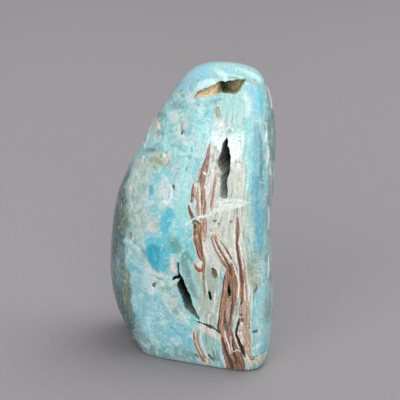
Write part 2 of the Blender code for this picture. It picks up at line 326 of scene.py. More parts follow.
# The mesh is made finer at the mouths, and once where thin lines lie on the front
RIM_MARGINS = (0.8, 0.35)
SHEETS_MIDDLE = 9.0
SHEETS_HALF = 10.5
SHEETS_TOP = 79.0
FRONT_FACING = -0.3
for margin in RIM_MARGINS:
    directions = ball_directions(stone_bm)
    places = section_points(*skin_places(directions), waves=False)
    outward = outward_normals(stone_bm, places)
    nearest = np.full(len(places), FAR_MM)
    for side, depth, heading, wall, stations in hollows.values():
        nearest = np.minimum(nearest, mouth_distances(places, outward, side, stations))
    if margin == RIM_MARGINS[0]:
        in_sheets = np.abs(places[:, 0] - SHEETS_MIDDLE) < SHEETS_HALF
        in_sheets &= (places[:, 2] < SHEETS_TOP) & (outward[:, 1] < FRONT_FACING)
        nearest[in_sheets] = 0.0
    for vert, direction in zip(stone_bm.verts, directions):
        vert.co = direction
    fine = nearest < margin
    stone_bm.edges.ensure_lookup_table()
    wanted = {edge for face in stone_bm.faces if any(fine[v.index] for v in face.verts)
              for edge in face.edges}
    ordered = sorted(wanted, key=lambda edge: edge.index)
    bmesh.ops.subdivide_edges(stone_bm, edges=ordered, cuts=1, use_grid_fill=True,
                              use_single_edge=True)
    stone_bm.verts.index_update()
    stone_bm.edges.index_update()

directions = ball_directions(stone_bm)
step, angle, reach = skin_places(directions)
skin = section_points(step, angle, reach)
skin[reach < 1.0, 2] = 0.0
outward = outward_normals(stone_bm, skin)

# How rough the walls and how ragged the mouths are, each in wide and in fine lumps
ROUGH_MM = 0.45
WALL_LUMPS_MM = (2.4, 0.9)
RAGGED_MM = (0.22, 0.1)
RIM_LUMPS_MM = (1.6, 0.6)
WALL_ROUNDING = 2.2
rough = noise_vectors(skin, WALL_LUMPS_MM[0]) + 0.5 * noise_vectors(skin, WALL_LUMPS_MM[1])
ragged = sum(depth * noise_at(skin, size) for depth, size in zip(RAGGED_MM, RIM_LUMPS_MM))
carved = np.zeros_like(skin)
openness = np.zeros(len(skin))
deepest = np.full(len(skin), "", dtype="U16")
for name, (side, depth, heading, wall, stations) in hollows.items():
    right, inward = side_axes(side)
    within = -(mouth_distances(skin, outward, side, stations) + ragged) / wall
    profile = 1.0 - (1.0 - np.clip(within, 0.0, 1.0)) ** WALL_ROUNDING
    way = inward + right * heading[0] + np.array([0.0, 0.0, heading[1]])
    push = way * depth * profile[:, None] + rough * ROUGH_MM * profile[:, None]
    deeper = (push**2).sum(1) > (carved**2).sum(1)
    carved[deeper] = push[deeper]
    deepest[deeper] = name
    openness = np.maximum(openness, profile)

# The wheel leaves the softer layers a touch lower than the hard ones
RIPPLE_MM = 0.07
RIPPLE_LENGTH = 1.8
UPRIGHT_STRETCH = np.array([1.0, 1.0, 0.45])
ripple = RIPPLE_MM * (0.5 + 0.5 * noise_at(skin * UPRIGHT_STRETCH, RIPPLE_LENGTH))

# Crumbly places on the front, where small flakes broke out before the polish: how deep in
# millimetres, and stations
CRUMBLY = {
    "net": (0.5, ((-14.0, 32.0, 4.0), (-11.0, 29.0, 5.0), (-8.0, 25.5, 5.0), (-6.5, 21.0, 4.5),
                  (-4.5, 18.0, 3.0))),
    "knob": (0.3, ((-7.0, 37.0, 2.4), (-9.0, 31.5, 3.0))),
    "limb": (0.25, ((-20.5, 58.0, 4.0), (-20.0, 50.0, 4.0))),
    "slit_lip": (0.35, ((7.0, 77.5, 1.6), (7.0, 72.5, 2.0), (8.0, 68.0, 1.6))),
    "foot_right": (0.35, ((16.0, 22.0, 1.6), (16.5, 14.0, 2.4), (19.5, 7.0, 2.4))),
    "upper_net": (0.15, ((-5.0, 86.0, 6.0), (-6.0, 80.0, 6.0))),
}
CRUMBLY_SOFT_MM = 2.5
FLAKE_MM = 1.7
FLAKE_START = 0.05
FLAKE_SOFT = 0.3
FRONT_SOFT = 0.4
flakes = np.clip((noise_at(skin + 37.0, FLAKE_MM) - FLAKE_START) / FLAKE_SOFT, 0.0, 1.0)
on_front = np.clip(-outward[:, 1] / FRONT_SOFT, 0.0, 1.0)
crumbly, broken = np.zeros(len(skin)), np.zeros(len(skin))
for depth, stations in CRUMBLY.values():
    distance = stroke_distance(skin[:, [0, 2]], stations)
    share = np.clip(0.5 - distance / CRUMBLY_SOFT_MM, 0.0, 1.0) * on_front
    crumbly = np.maximum(crumbly, share)
    broken = np.maximum(broken, depth * share * flakes)
points = skin + carved - outward * (ripple + broken)[:, None]
CAD_LOW, CAD_HIGH = (np.array(corner) / MM for corner in CAD_BOX)
low, high = skin.min(0), skin.max(0)
fit = np.minimum((CAD_HIGH - CAD_LOW)[:2] / (high - low)[:2], 1.0)
points[:, :2] = (points[:, :2] - (low + high)[:2] / 2.0) * fit + (CAD_HIGH + CAD_LOW)[:2] / 2.0

for vert, point in zip(stone_bm.verts, points * MM):
    vert.co = point
bmesh.ops.triangulate(stone_bm, faces=[f for f in stone_bm.faces if len(f.verts) > 4])
bmesh.ops.recalc_face_normals(stone_bm, faces=stone_bm.faces)
stone_mesh = bpy.data.meshes.new("polished_stone")
stone_bm.to_mesh(stone_mesh)
stone_bm.free()
stone_mesh.shade_smooth()
stone = bpy.data.objects.new("polished_stone", stone_mesh)
bpy.context.scene.collection.objects.link(stone)


# The markings: sheets of mineral laid down one after another, which stand upright in this stone
# and run through it from front to back. Turquoise lies to the left, then cream and brown sheets
# with the hollows between them, and a sky blue sheet along the right edge.
COLOURS = {
    "slate": (66, 90, 92),
    "slate_blue": (104, 136, 142),
    "olive": (104, 118, 90),
    "olive_pale": (150, 160, 130),
    "sage": (174, 190, 176),
    "sage_low": (166, 180, 167),
    "sage_blue": (156, 190, 184),
    "cream": (198, 204, 192),
    "cream_bright": (226, 230, 214),
    "cream_mint": (164, 200, 192),
    "milk": (198, 226, 224),
    "milk_blue": (204, 236, 244),
    "dome_pale": (150, 200, 214),
    "gash_blue": (126, 190, 208),
    "frost": (222, 238, 236),
    "rose": (210, 204, 194),
    "rose_blue": (194, 210, 212),
    "tan_pale": (198, 192, 166),
    "peach": (214, 186, 158),
    "steel_blue": (134, 188, 198),
    "teal_grey": (118, 154, 154),
    "teal_pale": (144, 182, 176),
    "teal": (92, 162, 160),
    "pale_blue": (144, 196, 200),
    "pale_aqua": (150, 202, 202),
    "mint": (150, 202, 196),
    "aqua": (130, 206, 210),
    "aqua_pale": (154, 214, 212),
    "turquoise_pale": (116, 200, 206),
    "turquoise": (96, 188, 202),
    "deep": (40, 160, 186),
    "deep_pale": (76, 178, 200),
    "tile": (78, 172, 184),
    "sky": (104, 172, 188),
    "sky_blue": (142, 198, 214),
    "side_grey": (134, 148, 146),
    "side_top": (112, 138, 138),
    "lavender": (178, 200, 216),
    "ivory": (236, 224, 210),
    "blush": (206, 178, 164),
    "tan": (184, 160, 140),
    "ash": (158, 148, 132),
    "brown": (142, 110, 92),
    "brown_deep": (118, 90, 74),
    "brown_warm": (164, 126, 98),
    "brown_rose": (176, 144, 130),
    "brown_olive": (134, 114, 80),
    "rust": (150, 98, 72),
    "umber": (78, 56, 44),
    "moss": (112, 122, 104),
    "teal_dark": (84, 138, 142),
    "streak_pale": (232, 228, 216),
    "streak_dark": (106, 110, 94),
    "sheet_border": (226, 220, 206),
    "vein_white": (228, 238, 234),
    "pore_grey": (96, 122, 116),
    "cloth": (143, 139, 142),
}


def linear(colour):
    """A colour's linear values from its bytes."""
    share = np.array(colour) / 255.0
    return np.where(share <= 0.04045, share / 12.92, ((share + 0.055) / 1.055) ** 2.4)


# Past the middle of the stone the sheets lean, so the back shows them in other places
MIDDLE_DEPTH = 18.0
BACK_LEAN = np.array([0.5, 0.1])
BACK_WARP = 0.25
BACK_WARP_LENGTH = 14.0
# Shares and lengths of the noises by which the edges of all marks wander
WANDER = ((1.0, 8.0), (0.7, 2.6), (0.5, 1.2))
front = np.interp(skin[:, 2], SECTIONS[:, 0], SECTIONS[:, 3])
swing = SWING_FOOT + (SWING_TOP - SWING_FOOT) * skin[:, 2] / HEIGHT
depths = skin[:, 1] - swing * (skin[:, 0] - SWING_CENTRE) - front
behind = np.clip(depths - MIDDLE_DEPTH, 0.0, None)
broad_warp = noise_vectors(skin + 40.0, BACK_WARP_LENGTH)[:, [0, 2]]
spots = skin[:, [0, 2]] + BACK_LEAN * behind[:, None]
spots = spots + broad_warp * BACK_WARP * behind[:, None]
wander = sum(share * noise_vectors(skin, length) for share, length in WANDER)[:, [0, 2]]

# Where the sheets run: up, then across, of three of them. A point's place among the sheets is
# counted from the left one.
LEFT_SHEET = ((2, 3.0), (10, 0.5), (19, 0.5), (29, 2.5), (38, 2.0), (45, 1.5), (53, -1.0),
              (58, -1.5), (67, 1.0), (74, 2.5), (84, 5.0), (94, 6.5), (104, 7.5))
MIDDLE_SHEET = ((1, 15.0), (8, 13.0), (15, 11.5), (20, 12.0), (30, 13.0), (38, 12.5), (44, 9.5),
                (50, 8.0), (57, 10.0), (70, 11.5), (84, 12.5), (104, 13.0))
RIGHT_SHEET = ((2, 24.0), (15, 21.5), (30, 21.0), (45, 20.0), (60, 19.0), (80, 19.5),
               (104, 19.5))
SHEET_GAP = 10.0


def sheet_place(spots):
    """How far across the sheets each spot lies."""
    left, middle, right = (np.interp(spots[:, 1], *np.array(sheet, float).T)
                           for sheet in (LEFT_SHEET, MIDDLE_SHEET, RIGHT_SHEET))
    across = spots[:, 0]
    first = (across - left) / (middle - left) * SHEET_GAP
    second = SHEET_GAP + (across - middle) / (right - middle) * SHEET_GAP
    place = np.where(across < middle, first, second)
    place = np.where(across < left, across - left, place)
    return np.where(across > right, 2.0 * SHEET_GAP + across - right, place)


sheets = sheet_place(spots + 0.35 * wander)


def eased(share):
    """A share from 0 to 1 that starts and ends gently."""
    share = np.clip(share, 0.0, 1.0)
    return share * share * (3.0 - 2.0 * share)


# Ground colours with no shape of their own: clouds through the whole stone, each a colour, its
# size in millimetres, where its noise starts to show, and a number that sets its noise apart
CLOUDS = (("aqua", 9.0, 0.0, 3.0), ("mint", 7.0, 0.0, 17.0), ("sage_blue", 6.0, 0.1, 29.0),
          ("milk", 4.5, 0.3, 61.0), ("turquoise", 5.0, 0.35, 83.0))
CLOUD_SOFT = 0.35
CLOUD_SHARE = 0.7
ground = np.tile(linear(COLOURS["pale_blue"]), (len(skin), 1))
for name, size, start, offset in CLOUDS:
    cloudy = noise_at(skin + 0.8 * wander[:, [0, 1, 0]] + offset, size)
    share = eased((cloudy - start) / CLOUD_SOFT)
    ground += (linear(COLOURS[name]) - ground) * CLOUD_SHARE * share[:, None]

# Ground colours with a place: colour, how soft their edges are, how far these wander, stations
GROUNDS = {
    "limb_pale": ("sage", 3.0, 1.5, ((-19.0, 71.0, 3.0), (-21.0, 62.0, 5.0), (-22.0, 53.0, 5.0))),
    "limb_striae": ("sage", 3.0, 1.5, ((-17.0, 69.5, 5.0), (-18.5, 58.5, 6.0), (-19.0, 47.0, 6.0))),
    # limb: the stone's own slate, made darker as painted shade of the left end
    "limb": ("slate", 2.6, 1.2, (
        (-23.5, 68.0, 4.0), (-26.0, 60.0, 5.0), (-27.0, 52.0, 7.0), (-27.0, 45.0, 7.0),
        (-27.5, 37.0, 8.6), (-27.5, 29.0, 10.2), (-26.5, 20.0, 10.2), (-23.0, 10.0, 8.0),
        (-20.0, 3.0, 6.0))),
    "limb_blue_edge": ("slate_blue", 3.0, 1.4, (
        (-25.0, 38.0, 2.4), (-26.0, 31.0, 3.2), (-26.0, 25.0, 2.4))),
    "foot": ("steel_blue", 3.5, 1.5, (
        (-17.0, 28.0, 8.0), (-14.5, 18.5, 12.0), (-9.5, 12.5, 13.0), (-2.5, 10.0, 9.0))),
    "foot_edge": ("teal_grey", 3.0, 1.0, (
        (-19.0, 7.0, 4.0), (-14.0, 3.0, 5.4), (-6.0, 3.0, 5.4), (1.0, 3.0, 4.4))),
    "dome": ("pale_aqua", 4.0, 1.5, ((4.0, 103.5, 9.0), (12.0, 103.5, 10.0), (19.5, 101.0, 9.0))),
    "dome_left": ("dome_pale", 2.5, 1.2, (
        (-4.0, 98.5, 3.0), (-1.0, 101.0, 4.0), (3.5, 102.0, 3.0))),
    "shoulder": ("teal_grey", 3.5, 1.5, ((-2.5, 96.5, 3.0), (-7.0, 91.0, 4.5), (-11.0, 85.0, 3.6))),
    "shoulder_pale": ("pale_blue", 2.0, 1.2, ((-5.0, 94.0, 1.6), (-9.0, 88.0, 1.6))),
    "mint_column": ("mint", 3.0, 1.0, ((13.0, 94.0, 9.0), (14.5, 87.0, 10.0), (15.0, 80.0, 8.0))),
    "sheets_top": ("cream_mint", 2.5, 0.8, (
        (11.5, 86.0, 4.0), (11.0, 82.0, 6.0), (9.5, 78.5, 7.5))),
    "sheets_high": ("cream", 2.5, 0.8, ((9.5, 75.5, 7.0), (7.5, 69.5, 9.0), (8.0, 61.0, 10.0))),
    "sheets_right": ("cream", 2.0, 0.8, ((15.5, 74.5, 5.0), (15.5, 69.0, 6.0), (15.5, 60.5, 6.0))),
    "sheets_middle": ("cream", 2.5, 1.0, (
        (10.0, 56.0, 12.0), (10.0, 47.5, 12.0), (7.0, 39.5, 9.0))),
    "sheets_low": ("sage_low", 2.5, 1.0, ((4.5, 34.5, 8.0), (5.5, 26.0, 9.0), (6.5, 20.0, 7.0))),
    "pale_strip": ("cream", 2.0, 0.8, (
        (17.5, 57.0, 4.0), (18.0, 46.5, 3.4), (18.5, 36.5, 2.6), (19.5, 28.0, 2.0))),
    "strip_mint": ("sage_blue", 1.2, 0.5, (
        (18.75, 50.0, 1.0), (19.0, 42.0, 1.2), (19.5, 34.0, 1.0))),
    "sky_stripe": ("sky", 1.8, 0.6, (
        (22.0, 87.0, 1.6), (21.5, 82.0, 3.4), (21.5, 76.5, 4.4), (22.0, 62.5, 4.4),
        (22.5, 49.0, 3.8), (22.5, 43.5, 3.4))),
    "stripe_right": ("teal_dark", 1.2, 0.6, (
        (22.5, 86.0, 0.8), (23.0, 76.0, 1.0), (23.0, 66.0, 0.8))),
    "edge_low": ("pale_blue", 1.8, 0.9, ((22.5, 29.5, 4.0), (22.5, 19.5, 4.6), (22.5, 9.0, 4.0))),
    "edge_tan": ("olive_pale", 3.4, 0.8, ((21.5, 43.0, 3.0), (21.0, 39.0, 4.0), (21.0, 33.5, 3.6))),
    # side and side_high: the right side's own grey, made darker as painted shade of that side
    "side": ("side_grey", 3.0, 1.2, (
        (27.0, 72.0, 4.0), (27.5, 61.0, 4.6), (27.5, 41.5, 5.0), (27.5, 20.0, 5.0))),
    "side_high": ("side_top", 2.5, 1.0, ((25.5, 99.0, 3.0), (27.0, 90.0, 4.4), (27.5, 76.0, 4.6))),
    "edge_mint": ("aqua", 1.2, 0.5, ((19.0, 93.0, 2.0), (19.0, 79.0, 2.0), (19.0, 65.5, 2.0))),
    "edge_mint_low": ("cream_mint", 1.6, 0.5, (
        (19.25, 63.0, 1.6), (19.75, 54.0, 2.0), (20.0, 46.5, 2.0))),
    "upper_net": ("aqua_pale", 3.0, 1.8, ((-6.0, 86.0, 6.0), (-7.0, 79.0, 6.0), (-2.5, 77.0, 6.0))),
    "upper_milk": ("milk", 1.6, 1.2, ((-6.5, 86.0, 2.0), (-4.5, 88.0, 2.4), (-2.5, 85.0, 1.6))),
    "upper_aqua": ("aqua", 1.2, 1.0, ((-7.0, 83.5, 2.8), (-5.5, 83.5, 2.6))),
    "dome_blue": ("sky_blue", 1.6, 1.0, ((1.0, 101.5, 2.0), (3.5, 102.5, 2.6), (6.0, 103.5, 2.0))),
    "shoulder_blue": ("sky_blue", 2.0, 1.0, ((-3.5, 97.5, 2.0), (-1.5, 97.0, 2.0))),
    "gash_right_blue": ("gash_blue", 1.8, 1.2, (
        (19.0, 98.5, 4.0), (21.5, 96.5, 5.0), (22.0, 91.5, 4.4))),
    "gash_right_deep": ("turquoise", 1.4, 0.8, ((22.0, 97.0, 1.4), (22.5, 93.0, 2.0))),
    "below_gash": ("turquoise_pale", 2.0, 1.4, (
        (5.0, 91.5, 2.6), (4.5, 88.5, 3.8), (4.0, 84.5, 3.4))),
    "below_gash_deep": ("teal", 0.8, 1.0, ((5.0, 91.5, 0.8), (4.0, 88.0, 0.7), (4.0, 84.0, 0.8))),
    "below_gash_left": ("aqua", 1.0, 1.2, ((1.5, 88.5, 2.2), (3.5, 83.0, 3.4), (6.5, 82.5, 2.6))),
    "gash_shade": ("teal", 0.8, 0.5, ((3.5, 92.0, 0.8), (6.5, 93.25, 1.4), (9.5, 94.5, 1.0))),
    "mint_band": ("aqua_pale", 1.2, 0.6, (
        (-0.5, 77.0, 3.2), (-2.0, 70.5, 3.8), (-3.0, 64.5, 3.6), (-3.5, 58.0, 4.6),
        (-3.5, 52.0, 5.2))),
    "mint_band_edge": ("lavender", 0.9, 0.6, ((-5.0, 67.0, 0.8), (-5.5, 61.5, 1.6))),
    "mint_shade": ("mint", 0.8, 0.5, ((-0.5, 76.0, 0.8), (-1.0, 72.0, 1.0), (-3.5, 65.0, 1.2),
                                      (-4.0, 60.0, 1.0))),
    "net_teal": ("aqua", 1.2, 1.0, ((-7.5, 81.0, 2.6), (-6.5, 79.0, 2.6))),
    "net_milk": ("milk", 1.2, 1.0, ((-4.5, 82.0, 2.0), (-3.5, 79.5, 2.4), (-3.0, 77.0, 1.6))),
    "net_rose": ("rose_blue", 1.0, 0.8, ((-4.0, 73.5, 1.4), (-5.5, 70.5, 2.0), (-6.5, 67.5, 1.6))),
    "limb_teal": ("teal_dark", 1.0, 0.7, ((-11.5, 80.0, 0.8), (-10.5, 80.75, 1.2))),
    "limb_wedge": ("teal_dark", 1.0, 0.6, (
        (-16.0, 74.0, 0.8), (-14.5, 74.5, 1.4), (-12.5, 75.0, 0.8))),
    "limb_tan": ("tan_pale", 1.2, 0.7, (
        (-13.0, 82.0, 1.8), (-11.5, 83.5, 2.2), (-10.5, 83.0, 1.4))),
    "olive_patch": ("olive_pale", 1.8, 1.0, (
        (-14.0, 71.5, 3.0), (-11.5, 71.0, 4.2), (-9.5, 71.5, 3.2))),
    "tan_patch": ("tan_pale", 1.0, 0.7, ((-12.0, 74.0, 1.8), (-9.5, 74.0, 2.8), (-8.0, 73.0, 2.4))),
    "aqua_patch": ("aqua", 0.7, 0.7, ((-11.5, 67.0, 2.4), (-9.5, 67.5, 3.2), (-8.0, 67.5, 2.6))),
    "blue_tile": ("tile", 0.5, 0.3, ((-14.25, 63.0, 1.8), (-14.5, 60.5, 1.7))),
    "tile_pale": ("lavender", 0.6, 0.4, ((-13.0, 63.5, 0.8), (-13.0, 60.5, 0.8))),
    "pale_middle": ("rose_blue", 1.4, 0.9, (
        (-9.5, 65.0, 2.8), (-9.0, 62.0, 4.4), (-8.5, 59.5, 3.4))),
    "pale_streak": ("lavender", 1.2, 0.8, ((-16.0, 58.0, 2.2), (-15.5, 54.5, 2.4))),
    "aqua_middle": ("aqua", 1.0, 0.7, ((-13.0, 58.5, 2.2), (-12.5, 55.5, 2.2))),
    "rose_middle": ("cream", 1.8, 1.2, (
        (-14.0, 52.5, 2.2), (-14.0, 49.5, 3.4), (-11.5, 51.5, 2.0))),
    "turquoise_high": ("turquoise", 0.8, 0.7, (
        (-8.0, 56.0, 2.2), (-9.0, 53.0, 3.4), (-10.0, 50.0, 3.4), (-9.5, 47.0, 3.0))),
    "turquoise_core": ("deep_pale", 1.4, 0.6, (
        (-8.0, 54.5, 1.0), (-9.0, 51.0, 1.6), (-9.5, 48.5, 1.2))),
    "turquoise_fan": ("aqua", 1.0, 0.8, ((-5.0, 50.5, 4.8), (-4.5, 47.0, 4.8))),
    "patch_top": ("sky_blue", 0.7, 0.5, ((-15.0, 46.5, 3.0), (-12.0, 46.0, 3.6))),
    "patch": ("turquoise", 0.7, 0.5, (
        (-14.5, 43.5, 4.0), (-11.0, 43.5, 4.8), (-8.5, 43.0, 4.6), (-5.5, 43.5, 4.0))),
    "patch_teal": ("teal", 2.4, 1.4, ((-7.5, 45.5, 4.2), (-4.5, 43.0, 6.0), (-2.5, 40.5, 4.8))),
    "patch_deep": ("deep", 0.7, 0.35, (
        (-13.75, 41.0, 4.8), (-12.75, 38.5, 6.2), (-12.25, 36.0, 4.6))),
    "patch_low": ("deep_pale", 0.8, 0.6, (
        (-10.0, 41.0, 3.4), (-9.5, 37.5, 4.2), (-10.0, 34.5, 3.2))),
    "patch_border": ("tan_pale", 0.7, 0.4, (
        (-17.0, 38.5, 0.5), (-16.5, 35.0, 0.9), (-15.0, 32.0, 0.9))),
    "limb_white": ("milk", 1.2, 0.8, ((-21.0, 42.5, 1.8), (-18.5, 40.5, 2.2))),
    "limb_blue": ("steel_blue", 1.6, 1.0, (
        (-20.0, 38.0, 3.2), (-20.5, 32.0, 4.4), (-19.5, 25.0, 4.0))),
    "pale_net": ("rose_blue", 1.6, 1.2, (
        (-14.5, 33.0, 2.2), (-12.0, 31.5, 3.0), (-14.0, 27.0, 3.0))),
    "curl": ("rose", 1.4, 0.9, ((-9.5, 28.5, 1.8), (-7.5, 26.5, 2.6))),
    "sage_net": ("sage_blue", 2.0, 1.5, ((-8.5, 27.0, 5.0), (-6.5, 22.0, 5.2), (-3.5, 19.0, 4.0))),
    "knob_left": ("rose", 0.7, 0.5, ((-7.0, 38.5, 1.8), (-6.75, 35.5, 2.6), (-7.0, 33.5, 2.2))),
    "knob": ("sage", 0.6, 0.4, ((-6.75, 30.75, 1.8), (-5.5, 31.0, 1.8))),
    "low_blue": ("sky_blue", 1.4, 1.3, ((-15.5, 15.5, 4.0), (-16.0, 11.0, 3.4))),
    "low_blue_right": ("sky_blue", 1.4, 1.3, ((-7.0, 11.5, 3.8), (-3.5, 12.5, 3.4))),
    "low_milk": ("milk", 1.2, 0.9, ((-4.5, 19.5, 1.4), (-2.0, 17.5, 2.0))),
    "low_teal": ("teal_grey", 1.5, 1.0, ((-20.5, 14.0, 2.4), (-19.0, 9.0, 2.6))),
    "diagonal_teal": ("teal_grey", 1.8, 0.9, (
        (-3.0, 38.0, 2.4), (-1.75, 35.0, 2.8), (-0.5, 31.0, 2.6), (1.0, 26.5, 2.0))),
    "diagonal_mint": ("mint", 0.7, 0.4, ((-0.5, 37.5, 1.0), (1.0, 32.5, 1.3), (2.25, 28.0, 1.2))),
    "foot_blob": ("teal_pale", 1.0, 0.8, ((5.0, 12.0, 3.4), (6.5, 9.0, 3.8), (6.5, 5.0, 3.6))),
    "foot_blob_deep": ("teal_grey", 0.8, 0.6, ((7.5, 6.5, 2.0), (8.5, 4.0, 2.4))),
    "foot_cap": ("rose", 0.9, 0.7, ((3.0, 15.0, 2.4), (6.5, 14.0, 2.4), (9.0, 12.5, 1.8))),
    "limb_olive_high": ("olive", 2.6, 1.0, (
        (-25.0, 53.0, 2.4), (-24.0, 48.0, 4.0), (-24.5, 44.0, 2.6))),
    "limb_olive_low": ("olive", 2.4, 1.0, (
        (-23.5, 32.0, 2.0), (-23.5, 26.0, 2.6), (-23.5, 20.0, 2.0), (-22.0, 13.0, 1.4))),
    "slot_pale": ("cream_mint", 1.6, 1.2, (
        (-7.0, 29.0, 2.4), (-5.75, 25.0, 2.4), (-4.5, 22.0, 2.0), (-2.25, 19.25, 1.4))),
    "foot_corner": ("tan_pale", 1.4, 0.9, ((18.5, 4.0, 1.6), (21.5, 4.25, 2.4), (24.5, 5.5, 1.8))),
    "foot_corner_milk": ("milk", 1.2, 0.8, ((20.5, 9.0, 1.2), (23.0, 10.0, 1.6))),
    "dome_milk": ("milk", 1.4, 0.9, ((8.5, 102.5, 1.6), (11.5, 101.5, 1.8))),
    "dome_mid_blue": ("sky_blue", 1.2, 0.9, ((11.5, 103.5, 1.2), (14.0, 103.0, 1.6))),
    "dome_teal": ("teal_pale", 1.8, 1.0, (
        (15.0, 101.5, 1.6), (19.0, 100.5, 2.2), (22.5, 99.5, 2.0))),
    "lip_milk": ("milk_blue", 1.0, 0.7, ((1.5, 97.5, 1.8), (4.5, 98.75, 2.6), (6.5, 99.5, 2.0))),
    "gash_right_milk": ("milk", 1.4, 0.8, (
        (17.0, 97.0, 1.2), (18.5, 94.0, 1.8), (18.0, 90.5, 1.2))),
    "dent_rim": ("cream", 0.9, 0.5, ((8.5, 91.0, 1.6), (8.5, 88.5, 1.8), (10.0, 86.0, 0.9),
                                        (11.0, 84.0, 0.6))),
    "rose_spot": ("cream", 0.9, 0.6, ((-4.5, 83.5, 1.2), (-2.0, 86.0, 1.0))),
    "stripe_pale": ("milk", 0.8, 0.5, ((17.5, 84.0, 0.8), (17.0, 80.5, 1.2))),
    "zone_border": ("cream", 0.7, 0.4, ((10.0, 29.0, 0.8), (9.5, 22.5, 1.4), (8.5, 18.0, 1.2))),
    "matrix_smudge": ("moss", 1.6, 0.5, ((13.5, 74.0, 0.5), (15.0, 74.5, 0.9), (16.5, 74.0, 0.7))),
    "limb_groove": ("slate", 1.4, 0.7, (
        (-21.5, 43.5, 0.4), (-19.5, 42.0, 0.9), (-17.5, 40.75, 0.9), (-16.5, 38.5, 0.8))),
}
# Places of one even colour, where the net of patches hardly shows
CALM = ("dome", "dome_left", "mint_column", "sheets_top", "sky_stripe", "edge_mint", "mint_band",
        "blue_tile", "turquoise_high", "turquoise_core", "patch_deep", "patch", "patch_low",
        "limb", "diagonal_teal", "diagonal_mint", "side", "side_high", "gash_right_blue")
# Places at the two ends that fade out toward the back, from this depth in millimetres on
# the painted shade in the limb and the side fades out toward the back with them
FADING = {"side": 3.0, "side_high": 3.0, "limb": 11.0, "limb_olive_high": 3.0,
          "limb_olive_low": 3.0, "limb_striae": 3.0, "limb_pale": 3.0}
FADE_LENGTH = 13.0
FADE_SHARE = 0.75
FADE_UNEVEN_MM = 4.0
FADE_LUMPS_MM = 6.0
calm = np.zeros(len(skin))
uneven_depths = depths + FADE_UNEVEN_MM * noise_at(skin + 71.0, FADE_LUMPS_MM)
for name, (colour, soft, wavy, stations) in GROUNDS.items():
    distance = stroke_distance(spots + wavy * wander, stations, reach=8.0)
    share = eased(0.5 - distance / soft)
    if name in FADING:
        share *= 1.0 - FADE_SHARE * eased((uneven_depths - FADING[name]) / FADE_LENGTH)
    ground += (linear(COLOURS[colour]) - ground) * share[:, None]
    if name in CALM:
        calm = np.maximum(calm, share)

# Crumbly places are pale on their ridges and dull where flakes are gone
for name, strength in (("cream", 0.5 * (1.0 - flakes)), ("teal_grey", 0.6 * flakes)):
    ground += (linear(COLOURS[name]) - ground) * (strength * crumbly)[:, None]

